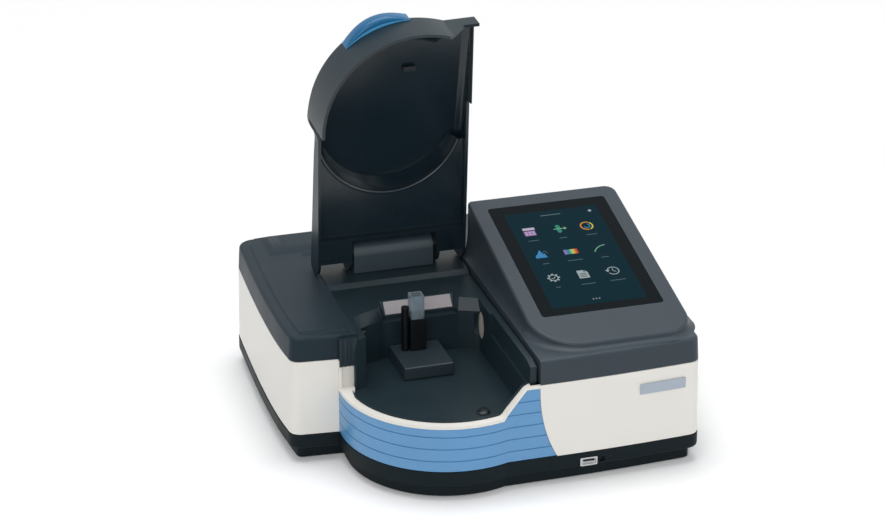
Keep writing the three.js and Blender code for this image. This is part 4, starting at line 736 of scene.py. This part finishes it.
def make_right_cover(skin):
    plan = block(SEAM + GAP, FAR, -FAR, FAR, 0, FAR)
    inner_plan = block(SEAM + GAP + WALL, FAR, -FAR, FAR, 0, FAR)
    hollow = cover_hollow() & inner_plan
    rings = [pod_ring(POD_FOOT, 0, 1.5)]
    for i in range(9):
        t = i / 8
        rings.append(pod_ring(POD_FOOT * (1 - t) ** 2.4 + 0.9 * (1 - t), 0.55 * t ** 1.25, 0.0))
    rings.append(pod_ring(0, 1, 2.6))
    for i in range(1, 7):
        t = PI / 2 * i / 6
        rings.append(pod_ring(-2.4 * (1 - math.cos(t)), 1, 2.6 * (1 - math.sin(t))))
    pod = loft(rings)
    pod_hollow = loft([pod_ring(-WALL, 0, 6, 15), pod_ring(-4.5, 1, 3, 15)])
    shell = ((skin - hollow) & plan) + (pod & plan) - (pod_hollow & inner_plan)
    shell = shell - tilted(119.9, 174.2, -2.3, 5, 0, 3.3) - tilted(94.8, 151.4, -8, 5, -1.4, 1)
    show("display_pod_cover", shell, "pod", "chassis", "right_cover", 0.4, 32, 3, smooth=32)


# Deck and sample well. The shares give places along the well's back and how far it stands out there
LIP_DEPTH, LIP_Z, FACET_Z = 12.0, 110.0, 113.0
LOW_SHARES = [(0, -1.67), (0.064, -0.92), (0.24, -0.08), (0.28, 0.63), (0.826, 0.63), (0.846, 0), (1, -0.67)]
HIGH_SHARES = [(0, -0.75), (0.075, -0.32), (0.22, 0.32), (0.262, 1.46), (0.845, 1.46), (0.868, 0.55),
               (1, -0.13)]
CELL_Y, BEAM_Z = -24.6, 109.5
WINDOW_Z, WINDOW_WIDE, WINDOW_HIGH = 100, 8.5, 13.5
TRAY_IN = 8.6
RIB_X, RIB_Y = (-134.6, -130.2, -127.0), -69.9


def bay_shape(right, back):
    """The floor of the well from above."""
    radius, front = BAY_R - TRAY_IN, FRONT + TRAY_IN
    end = -math.asin((BAY_Y - front) / radius)
    o = Outline(BAY_X - radius, back).line((BAY_X - radius, BAY_Y))
    o.arc(BAY_X, BAY_Y, radius, PI, PI * 2 + end, 72).line((right, front), (right, back))
    return o.ring()


def facet_ring(shares, z):
    """One level of the well's cavity, with its faceted back."""
    width, front = WELL_R - WELL_L, FACE - OVER
    back = [(WELL_L + width * x, WELL_BACK + LIP_DEPTH * y, z) for x, y in shares]
    return [(WELL_L, front, z), (WELL_R, front, z)] + back[::-1]


def window_ring(grow):
    wide, high = WINDOW_WIDE + grow, WINDOW_HIGH + grow
    return [(CELL_Y + wide * x, WINDOW_Z + high * z) for x, z in disc(0, 0, 1, 48)]


def rim_lip():
    """A thin dark lip of the tray on the inner edge of the white rim, climbing its ramp; it also stands as
    painted shadow for the gap between the well floor and the rim.
    """
    low, high, far = BAND_TOP - 15, CASE_TOP + 2 * OVER, 40
    left, right, front, back = JOG + 6.6, RAIL_L - GAP, AHEAD, BAY_Y - 1
    ring = straight(-6.7, low + 2, high - 2) - straight(-9.4, low, high)
    ring = ring & frontways(rim_profile(RIM_H - 0.1, right), front, FACE)
    end = [(left, BAY_Y - 30), (left, front), (right, front), (right, back), (JOG + 9.5, back)]
    ring = ring & prism(end, 0, high)
    rim = straight(OVER, low, high) - straight(-RIM_W - 0.04, low - 1, high + 1)
    rim = rim - frontways(rim_profile(-0.04, far), front - OVER, FACE)
    return ring - frontways(rim_profile(-1.1, far), front - OVER, FACE) - rim


def make_tray():
    bottom, under = FLOOR - WALL, DECK_TOP - WALL
    rise = [(41, under), (41, DECK_TOP + 0.2), (45.2, 128.2), (45.8, 128.4), (DECK_REAR, 128.4),
            (DECK_REAR, under)]
    deck = block(DECK_LEFT, RAIL_R, FACE, DECK_REAR, bottom, DECK_TOP) + sideways(rise, DECK_LEFT, RAIL_R)
    floor = prism(bay_shape(RAIL_R, FACE + OVER), bottom, FLOOR)
    right = block(WELL_R, RAIL_R, RAIL_FRONT, FACE + OVER, bottom, CASE_TOP + OVER) & prism(
        bay_shape(RAIL_R, FACE + 10), 0, FAR)
    rail = sideways([(RAIL_FRONT, CASE_TOP), (FACE + OVER, CASE_TOP), (FACE + OVER, DECK_TOP),
                     (RAIL_FRONT + 12, DECK_TOP), (RAIL_FRONT, DECK_TOP - 3)], RAIL_L, RAIL_R)
    flare = prism([(WELL_L + GAP, FACE + WALL), (WELL_L + GAP, FACE - GAP), (-123, -71.4), (-124.2, -68.7),
                   (DECK_LEFT, FACE), (DECK_LEFT, FACE + WALL)], bottom, DECK_TOP)
    flare = flare & frontways([(-126, bottom), (-109, bottom), (-109, DECK_TOP), (DECK_LEFT, DECK_TOP),
                               (-126, 105)], BAY_Y - OVER, FACE + WALL)
    post = block(-138.3, -121, RIB_Y, FACE + 1.2, 98, DECK_TOP + 1.6) + block(
        -122.5, -116.5, -68.4, FACE + 1.2, 98, DECK_TOP)
    cavity = prism([(x, min(y, WELL_BACK)) for x, y, z in facet_ring(LOW_SHARES, 0)], FLOOR, FAR)
    facets = loft([facet_ring(LOW_SHARES, LIP_Z), facet_ring(LOW_SHARES, FACET_Z),
                   facet_ring(HIGH_SHARES, DECK_TOP), facet_ring(HIGH_SHARES, DECK_TOP + OVER)])
    sides, back = (DECK_LEFT + WALL, RAIL_R - WALL), DECK_REAR - WALL
    hollow = block(*sides, WELL_BACK + 15, back, bottom - OVER, under) + block(
        *sides, WELL_BACK + WALL, back, bottom - OVER, LIP_Z - 6)
    beam = bar("x", 3, FAR, DECK_LEFT + 45, CELL_Y, BEAM_Z, 32)
    window = window_ring(GAP)
    seats = sideways(window, WELL_R - OVER, WELL_R + 1.8) + sideways(window, WELL_L - 1.8, WELL_L + OVER)
    ledge = block(WELL_R - OVER, WELL_R + 2.5, RAIL_FRONT, CELL_Y - 27, 103, FAR)
    body = deck + floor + right + rail + flare + post - cavity - facets - hollow - ledge - seats - beam
    keep = straight(OVER, 0, CASE_TOP) - straight(-TRAY_IN, -OVER, CASE_TOP + GAP)
    keep = keep & block(-FAR, SEAM, -FAR, BAY_Y, 0, CASE_TOP + GAP)
    panel = block(JOG - OVER, DECK_LEFT - GAP, FACE - GAP, FACE + WALL + GAP, 0, 98)
    panel = panel + prism(pad_plan(GAP), 0, BAND_TOP + 3.3)
    ribs = [bar("z", 0.8, 40, x, RIB_Y, 111, 16) for x in RIB_X]
    tray = body - keep - panel - (ribs[0] + ribs[1] + ribs[2]) + rim_lip()
    show("sample_tray", tray, "tray", "chassis", "well_tray", 0.6, 30, 3, smooth=34)


# Lid, modelled closed and then turned open about its hinge
HINGE_Y, HINGE_Z, HINGE_X = 76.6, 146.0, (-88, -8)
LID_L, LID_R, LID_FRONT, LID_X, LID_Y, LID_RAD = -124.5, 23.5, -169.0, -41.0, -82.5, 93.0
SIDE_END = -50
TOP_REAR, TOP_MID, TOP_MID_Y, TOP_FRONT = 162.9, 152.5, -31.0, 128.0
RIM_Z, LID_WALL, HEEL = 128.8, 2.8, 17.2
LID_LOW, LEG_END, NOTCH_Y = 71.9, -75.4, 56
DISH_X, DISH_Y, DISH_RAD, DISH_Z = -53, -62, 71, RIM_Z + 6
LID_OPEN = Matrix.Translation((0, HINGE_Y, HINGE_Z)) @ Matrix.Rotation(math.radians(-86), 4, "X")
LID_OPEN = LID_OPEN @ Matrix.Translation((0, -HINGE_Y, -HINGE_Z))


def lid_top(y):
    """Height of the closed lid, which falls in two slopes from the hinge to the front."""
    front, rear = TOP_MID_Y - LID_FRONT, HINGE_Y - TOP_MID_Y
    slope = (TOP_MID - TOP_FRONT) / front if y < TOP_MID_Y else (TOP_REAR - TOP_MID) / rear
    return TOP_MID + (y - TOP_MID_Y) * slope


def lid_outline(inset):
    """The closed lid from above, with the round front that covers the bay."""
    radius = LID_RAD - inset
    end = math.asin((LID_Y - LID_FRONT - inset) / radius)
    left, right, jog = LID_L + inset, LID_R - inset, LID_X - radius
    o = Outline(left, HINGE_Y + HEEL).line((left, TOP_MID_Y), (left, SIDE_END))
    o.cubic(left, (SIDE_END + LID_Y) / 2, jog, (SIDE_END + LID_Y) / 2, jog, LID_Y, 16)
    o.arc(LID_X, LID_Y, radius, PI, PI * 2 - end, 64)
    o.line((right, LID_FRONT + inset), (right, (LID_FRONT + SIDE_END) / 2), (right, SIDE_END),
           (right, TOP_MID_Y), (right, HINGE_Y + HEEL))
    return o.ring()


def crown_ring(inset, share, drop):
    """One ring of the lid's top: tight at the sides, well rounded round the front."""
    near, far, ring = lid_outline(inset), lid_outline(inset + 7), []
    for (x0, y0), (x1, y1) in zip(near, far):
        rnd = smoothstep(-y0, 50, -LID_Y + 24) if x0 < SEAM - 24 else 0.0
        fall = smoothstep(-y0, 152, 175)
        reach = share * lerp(1, 24 / 7, rnd)
        x, y = lerp(x0, x1, reach), lerp(y0, y1, reach)
        top = lid_top(y)
        low = lerp(top - 7, lerp(RIM_Z, 118, fall), rnd)
        ring.append((x, y, lerp(low, top, math.sqrt(share)) - drop))
    return ring


def crown(grow, bottom):
    """The lid's full form down to a level, grown or, below zero, shrunk on all sides."""
    rings = [[(x, y, bottom) for x, y in lid_outline(-grow)]]
    for share in (0, 0.012, 0.04, 0.09, 0.16, 0.26, 0.4, 0.6, 0.8, 1):
        rings.append(crown_ring(-grow, share, -grow))
    return loft(rings, TOP_MID_Y)


def under_edge(z):
    """Side view of the cut under the lid's right edge."""
    front = LID_FRONT + LID_WALL
    return [(front, 72), (LEG_END, 72), (LEG_END, z), (front + 12, z), (front, min(z, 121.6))]


def hinge_pins():
    left, right = HINGE_X
    return bar("x", 4.3, 26.6, left, HINGE_Y, HINGE_Z) + bar("x", 4.3, 26.6, right, HINGE_Y, HINGE_Z)


def heel_pocket(x0, x1):
    """A pocket in the lid's heel, beside the hinge."""
    return block(x0, x1, HINGE_Y + 1.2, FAR, 0, 139) + block(x0, x1, HINGE_Y + 7, FAR, 0, FAR)


def make_lid():
    left, right = HINGE_X
    hollow = crown(-LID_WALL, LID_LOW - OVER) & block(-FAR, FAR, -FAR, NOTCH_Y - LID_WALL, 0, FAR)
    edge = frontways([(-FAR, 66), (FAR, 66), (FAR, 104.6), (9, 104.6), (-13, 76.9), (-FAR, 76.9)],
                     -FAR, LEG_END)
    side = sideways(under_edge(124.6), 9, LID_R - 1.6) + sideways(under_edge(121), LID_R - 1.9, LID_R + OVER)
    heel = block(-FAR, FAR, HINGE_Y, FAR, 0, FAR) - sideways(disc(HINGE_Y, HINGE_Z, HEEL, 72), -FAR, FAR)
    notch = block(left - 2.5, right + 2.5, NOTCH_Y, FAR, 0, FAR)
    pockets = heel_pocket(LID_L + LID_WALL, left - 5.3) + heel_pocket(right + 5.3, LID_R - LID_WALL)
    shell = crown(0, LID_LOW) - hollow - heel - block(-FAR, FAR, LEG_END - OVER, FAR, 0, RIM_Z)
    shell = shell - edge - side - notch - pockets - hinge_pins()
    lid = show("lid_cover", shell.turned(LID_OPEN), "lid", "lid", "lid_shell", 0.55, 38, 2,
               smooth=38)
    paint_inside(lid)
    make_liner()


def dish_cone(grow, low):
    """The round dish of the liner, from a level under its plate up to the lid's top."""
    big = DISH_RAD + (DISH_Z - low) * 8.5 / (TOP_MID - DISH_Z) + grow
    rings = []
    for i in range(13):
        t = i / 12
        bend = 1.6 * math.sin(PI * t)
        circle = disc(DISH_X, DISH_Y, lerp(big, 62.5 + grow, t) + bend, 128)
        rings.append([(x, y, lerp(low, TOP_MID, t)) for x, y in circle])
    return loft(rings)


def make_liner():
    z = DISH_Z
    inside = crown(-LID_WALL - GAP, LID_LOW - OVER) & block(
        -FAR, FAR, -FAR, NOTCH_Y - LID_WALL - GAP, RIM_Z, FAR)
    behind = block(-FAR, FAR, DISH_Y + DISH_RAD / 3, FAR, 0, FAR)
    plate = block(-FAR, FAR, DISH_Y, FAR, z, z + 1.8)
    bead = ring_tube(DISH_X, DISH_Y, DISH_RAD + 1.3, 1.9, z + 0.9)
    liner = (plate + dish_cone(1.8, z + 0.9) - dish_cone(0, z - OVER) + bead) & inside & behind
    show("lid_inner_panel", liner.turned(LID_OPEN), "lid_inside_and_shade", "lid", "lid_liner", 0.5, 34, 3,
         smooth=34)


def within(x, y, ring):
    """Whether a point lies inside a ring."""
    hits = False
    for (x0, y0), (x1, y1) in zip(ring, ring[1:] + ring[:1]):
        if (y0 > y) != (y1 > y) and x < x0 + (x1 - x0) * (y - y0) / (y1 - y0):
            hits = not hits
    return hits


def paint_inside(lid):
    """The inside faces of the lid wear the liner's darker, glossier look: partly the moulding's own dark
    inside, partly painted shade in the lid's hollow and under its legs.
    """
    lid.data.materials.append(mats["lid_inside_and_shade"])
    back, skin = LID_OPEN.inverted(), lid_outline(1.55)
    for poly in lid.data.polygons:
        p = back @ (poly.center / MM)
        n = back.to_3x3() @ poly.normal
        # Painted shade: faces inside the skin and not facing up take the darker inside look
        if p.y < NOTCH_Y - 2 and p.z < lid_top(p.y) - 1.6 and n.z < 0.6 and within(p.x, p.y, skin):
            poly.material_index = 1


def grip_ring(bulge, z):
    """One level of the finger grip, which hugs the lid's round front."""
    outer, inner, wall, steps = [], [], LID_RAD - LID_WALL, 40
    for i in range(steps + 1):
        t = i / steps
        a = math.radians(lerp(229, 270, t))
        r = LID_RAD + GAP + GAP + bulge * math.sin(PI * t)
        outer.append((LID_X + r * math.cos(a), LID_Y + r * math.sin(a), z))
        inner.insert(0, (LID_X + wall * math.cos(a), LID_Y + wall * math.sin(a), z))
    return outer + inner


def make_grip():
    levels = [(2.5, 112), (5.6, 112.7), (7.4, 114.4), (8, 117), (8, 123.4), (7.4, 125.4), (5.8, 127),
              (2.67, 128)]
    grip = loft([grip_ring(bulge, z) for bulge, z in levels]) - crown(GAP, LID_LOW)
    piece = show("finger_grip", grip.turned(LID_OPEN), "blue_grip_shaded", "lid", "lid_grip", 0.25, 40, 2)
    piece.data.materials.append(mats["blue_grip_lit"])
    # Painted light: the top edge and the underside next to the lid take the lighter copy as painted
    # highlight, the rest keeps the darker copy as painted shade
    back = LID_OPEN.inverted()
    for poly in piece.data.polygons:
        p, n = back @ (poly.center / MM), back.to_3x3() @ poly.normal
        reach = math.hypot(p.x - LID_X, p.y - LID_Y) - LID_RAD
        if (n.z < -0.8 and p.z < 112.2 and reach < 3.1) or p.z > 125.5:
            poly.material_index = 1


def make_hinge_block():
    r, low = HEEL - 3.6, 128.7
    side = [(HINGE_Y - r, low), (HINGE_Y + r, low)]
    side += [(HINGE_Y + r * math.cos(PI * i / 40), HINGE_Z + r * math.sin(PI * i / 40)) for i in range(41)]
    cover = sideways(side, *HINGE_X) - hinge_pins()
    show("hinge_cover", cover, "hinge", "chassis", "hinge_block", 0.8, 34, 3, smooth=34)


# Display: cover glass, the lit screen and its plain picture
def ink(name, shapes, mat, low=0.06, high=0.1):
    """Flat shapes of the screen's picture, each a thin closed slab just over the glass."""
    verts, faces = [], []
    for ring in shapes:
        n, k = len(ring), len(verts)
        verts += [(x, y, low) for x, y in ring] + [(x, y, high) for x, y in ring]
        faces.append([k + n - 1 - i for i in range(n)])
        faces.append([k + n + i for i in range(n)])
        faces += [[k + i, k + (i + 1) % n, k + n + (i + 1) % n, k + n + i] for i in range(n)]
    mesh = bpy.data.meshes.new(name)
    mesh.from_pydata(verts, [], faces)
    show(name, Solid(mesh).outward().turned(PANEL), mat, "chassis", None, 0, clean=0)


# Shapes of the picture, in the plane of the screen; all of it is plain, with bars in place of words
def slab(x0, x1, y0, y1):
    return [(x0, y0), (x1, y0), (x1, y1), (x0, y1)]


def pill(x, y, width, height):
    return rounded(x - width / 2, x + width / 2, y - height / 2, y + height / 2, min(width, height) * 0.49, 6)


def stroke(points, width):
    left, right = [], []
    for i, (x, y) in enumerate(points):
        ax, ay = points[max(0, i - 1)]
        bx, by = points[min(len(points) - 1, i + 1)]
        d = math.hypot(bx - ax, by - ay) or 1.0
        nx, ny = -(by - ay) / d * width / 2, (bx - ax) / d * width / 2
        left.append((x + nx, y + ny))
        right.insert(0, (x - nx, y - ny))
    return left + right


def sweep(x, y, radius, width, a0, a1, steps=36):
    arc = [math.radians(lerp(a0, a1, i / steps)) for i in range(steps + 1)]
    return stroke([(x + radius * math.cos(a), y + radius * math.sin(a)) for a in arc], width)


def make_display():
    glass = tilted(119.3, 173.6, -2, -0.02, 0, 2.4, 10)
    show("screen_glass", glass, "glass", "chassis", "display_glass", 0.25, 40, 2)
    ink("screen_field", [slab(-46.6, 46.6, -76.6, 73.8)], "screen", 0.0, 0.04)
    ink("icon_panel_top", [slab(-36.4, -24.4, 45.8, 49.6)], "icon_lilac")
    ink("icon_panel", [slab(-36.6, -25.2, 37.0, 44.6)], "icon_purple")
    spots = [(-35.4 + 3.5 * i, 38.2 + 3.2 * k) for i in range(3) for k in range(2)]
    keys = [slab(x, x + 2.2, y, y + 2.0) for x, y in spots]
    ink("icon_panel_keys", keys, "icon_lilac", 0.1, 0.12)
    ink("icon_slide", [pill(-1.4, 42.8, 4.4, 12.6)], "icon_green")
    arrows = [stroke([(-6.6, 42.8), (4.0, 42.8)], 1.0), [(4.0, 45.0), (7.0, 42.8), (4.0, 40.6)]]
    ink("icon_slide_mark", arrows, "icon_mint", 0.1, 0.12)
    ink("icon_dial", [sweep(27.1, 42.3, 5.9, 1.5, 60, 280)], "icon_orange")
    ink("icon_dial_end", [sweep(27.1, 42.3, 5.9, 1.5, 292, 412)], "icon_yellow")
    ink("icon_dial_inner", [sweep(27.1, 42.3, 2.9, 1.1, 200, 420)], "icon_blue")
    hill = [(-37.4, 1.0), (-36.8, 5.2), (-34.6, 6.6), (-32.6, 10.6), (-30.9, 13.4), (-29.8, 9.8),
            (-28.6, 6.0), (-27.4, 7.6), (-25.8, 1.0)]
    ink("icon_hill", [hill], "icon_blue")
    ink("icon_hill_line", [stroke([(-28.4, 9.4), (-25.6, 11.2), (-24.2, 7.2)], 0.8)], "icon_dim")
    for i, tone in enumerate(("purple", "blue", "green", "mint", "yellow", "orange", "red")):
        ink("icon_strip_%d" % i, [slab(-8.2 + 1.98 * i, -6.22 + 1.98 * i, 1.6, 8.9)], "icon_" + tone)
    rise = [(21.3, 0.5), (23.2, 3.6), (26.0, 6.6), (29.8, 8.8), (34.2, 9.7)]
    ink("icon_rise", [stroke(rise, 1.0)], "icon_mint")
    teeth = [sweep(-30.7, -31.1, 5.4, 1.7, 45 * i - 9, 45 * i + 9, 4) for i in range(8)]
    check = stroke([(-33.0, -31.2), (-31.2, -32.8), (-28.6, -29.4)], 0.8)
    ink("icon_wheel", [sweep(-30.7, -31.1, 4.3, 1.1, 0, 359)] + teeth + [check], "icon_grey")
    page = [(-6.4, -37.2), (3.8, -37.2), (3.8, -28.2), (0.6, -25.0), (-6.4, -25.0)]
    ink("icon_page", [page], "icon_grey")
    lines = [slab(-4.6, 2.0, y, y + 0.9) for y in (-35.2, -33.0, -30.8)]
    ink("icon_page_lines", lines + [slab(0.4, 1.3, -28.2, -25.2)], "icon_dark", 0.1, 0.12)
    hand = stroke([(28.6, -27.8), (28.6, -31.6), (31.2, -33.0)], 0.8)
    tip = [(21.0, -29.6), (25.4, -29.6), (23.2, -32.8)]
    ink("icon_clock", [sweep(28.6, -31.4, 5.5, 1.0, -150, 165), hand, tip], "icon_grey")
    bars = [(-31.0, 28.9, 10.6), (-1.4, 28.2, 7.8), (27.6, 28.2, 10.9), (-30.8, -8.5, 6.6),
            (-1.4, -8.3, 15.3), (28.3, -9.1, 7.8), (-30.8, -45.9, 4.7), (-1.0, -46.2, 14.1),
            (28.7, -45.9, 15.2)]
    ink("icon_captions", [pill(x, y, w, 0.9) for x, y, w in bars], "icon_dim")
    ink("icon_heading", [pill(-2.0, 66.4, 20.6, 1.4)], "icon_dim")
    ink("icon_dot", [disc(38.1, 65.8, 1.7, 24)], "icon_grey")
    ink("icon_pager", [disc(x, -69.5, 0.75, 16) for x in (-4.2, -1.2, 1.8)], "icon_grey")


def refine(name, node, mat, bevel, body="chassis", angle=35, segments=2, smooth=40):
    """A finer copy of a solid, with its edges rounded."""
    mesh = nodes[node].data.copy()
    mesh.transform(Matrix.Scale(1 / MM, 4))
    return show(name, Solid(mesh), mat, body, node, bevel, angle, segments, smooth)


def make_front_port():
    """The bezel and the tongue in the front socket, bent with the base's front."""
    g, reach = DRAFT + SKIRT_IN, (AHEAD, FRONT + 20)
    skin = straight(g + 0.2, 12, 26) - straight(g - 4, 10, 28)
    back = straight(g - 3.2, 12, 26) - straight(g - 4, 10, 28)
    outer = frontways(rounded(63.5, 80.2, 15.1, 23.5, 1.0, 6), *reach)
    inner = frontways(rounded(65.0, 78.7, 16.5, 22.1, 0.5, 4), *reach)
    bezel = (skin & outer) - inner + (back & outer)
    show("front_port_bezel", bezel, "steel", "chassis", None, 0.2, 40, 2)
    tongue = block(66.4, 77.3, FRONT - 1.9, FRONT + 1, 19.7, 21.3)
    show("front_port_tongue", tongue, "holder", "chassis", None, 0.15, 40, 2)


make_base()
make_case()
make_display()
make_front_port()
refine("cell_holder_foot", "cell_holder_base", "foot", 1.2, segments=3)
refine("cell_holder_column", "cell_holder_tower", "tower", 0.5)
refine("clamp_post", "cell_clamp_post", "tower", 0.6, angle=50)
refine("bay_plate", "well_plate", "grey_plate", 0.35)
refine("front_plate", "label_plate", "pale_plate", 0.35, angle=50)
refine("floor_boss", "floor_dome", "holder", 0.3, angle=50, smooth=60)
refine("lid_catch", "lid_magnet", "holder", 0.3, "lid")
refine("inlet_socket", "power_inlet", "holder", 0.5)
refine("switch_frame", "power_switch_frame", "holder", 0.5)
refine("switch_rocker", "power_rocker", "holder", 0.4, "rocker")
refine("fan_housing", "fan_frame", "holder", 0.4)
skin = cover_skin()
make_left_cover(skin)
make_right_cover(skin)
make_tray()
make_lid()
make_grip()
make_hinge_block()

make_camera()
make_studio()
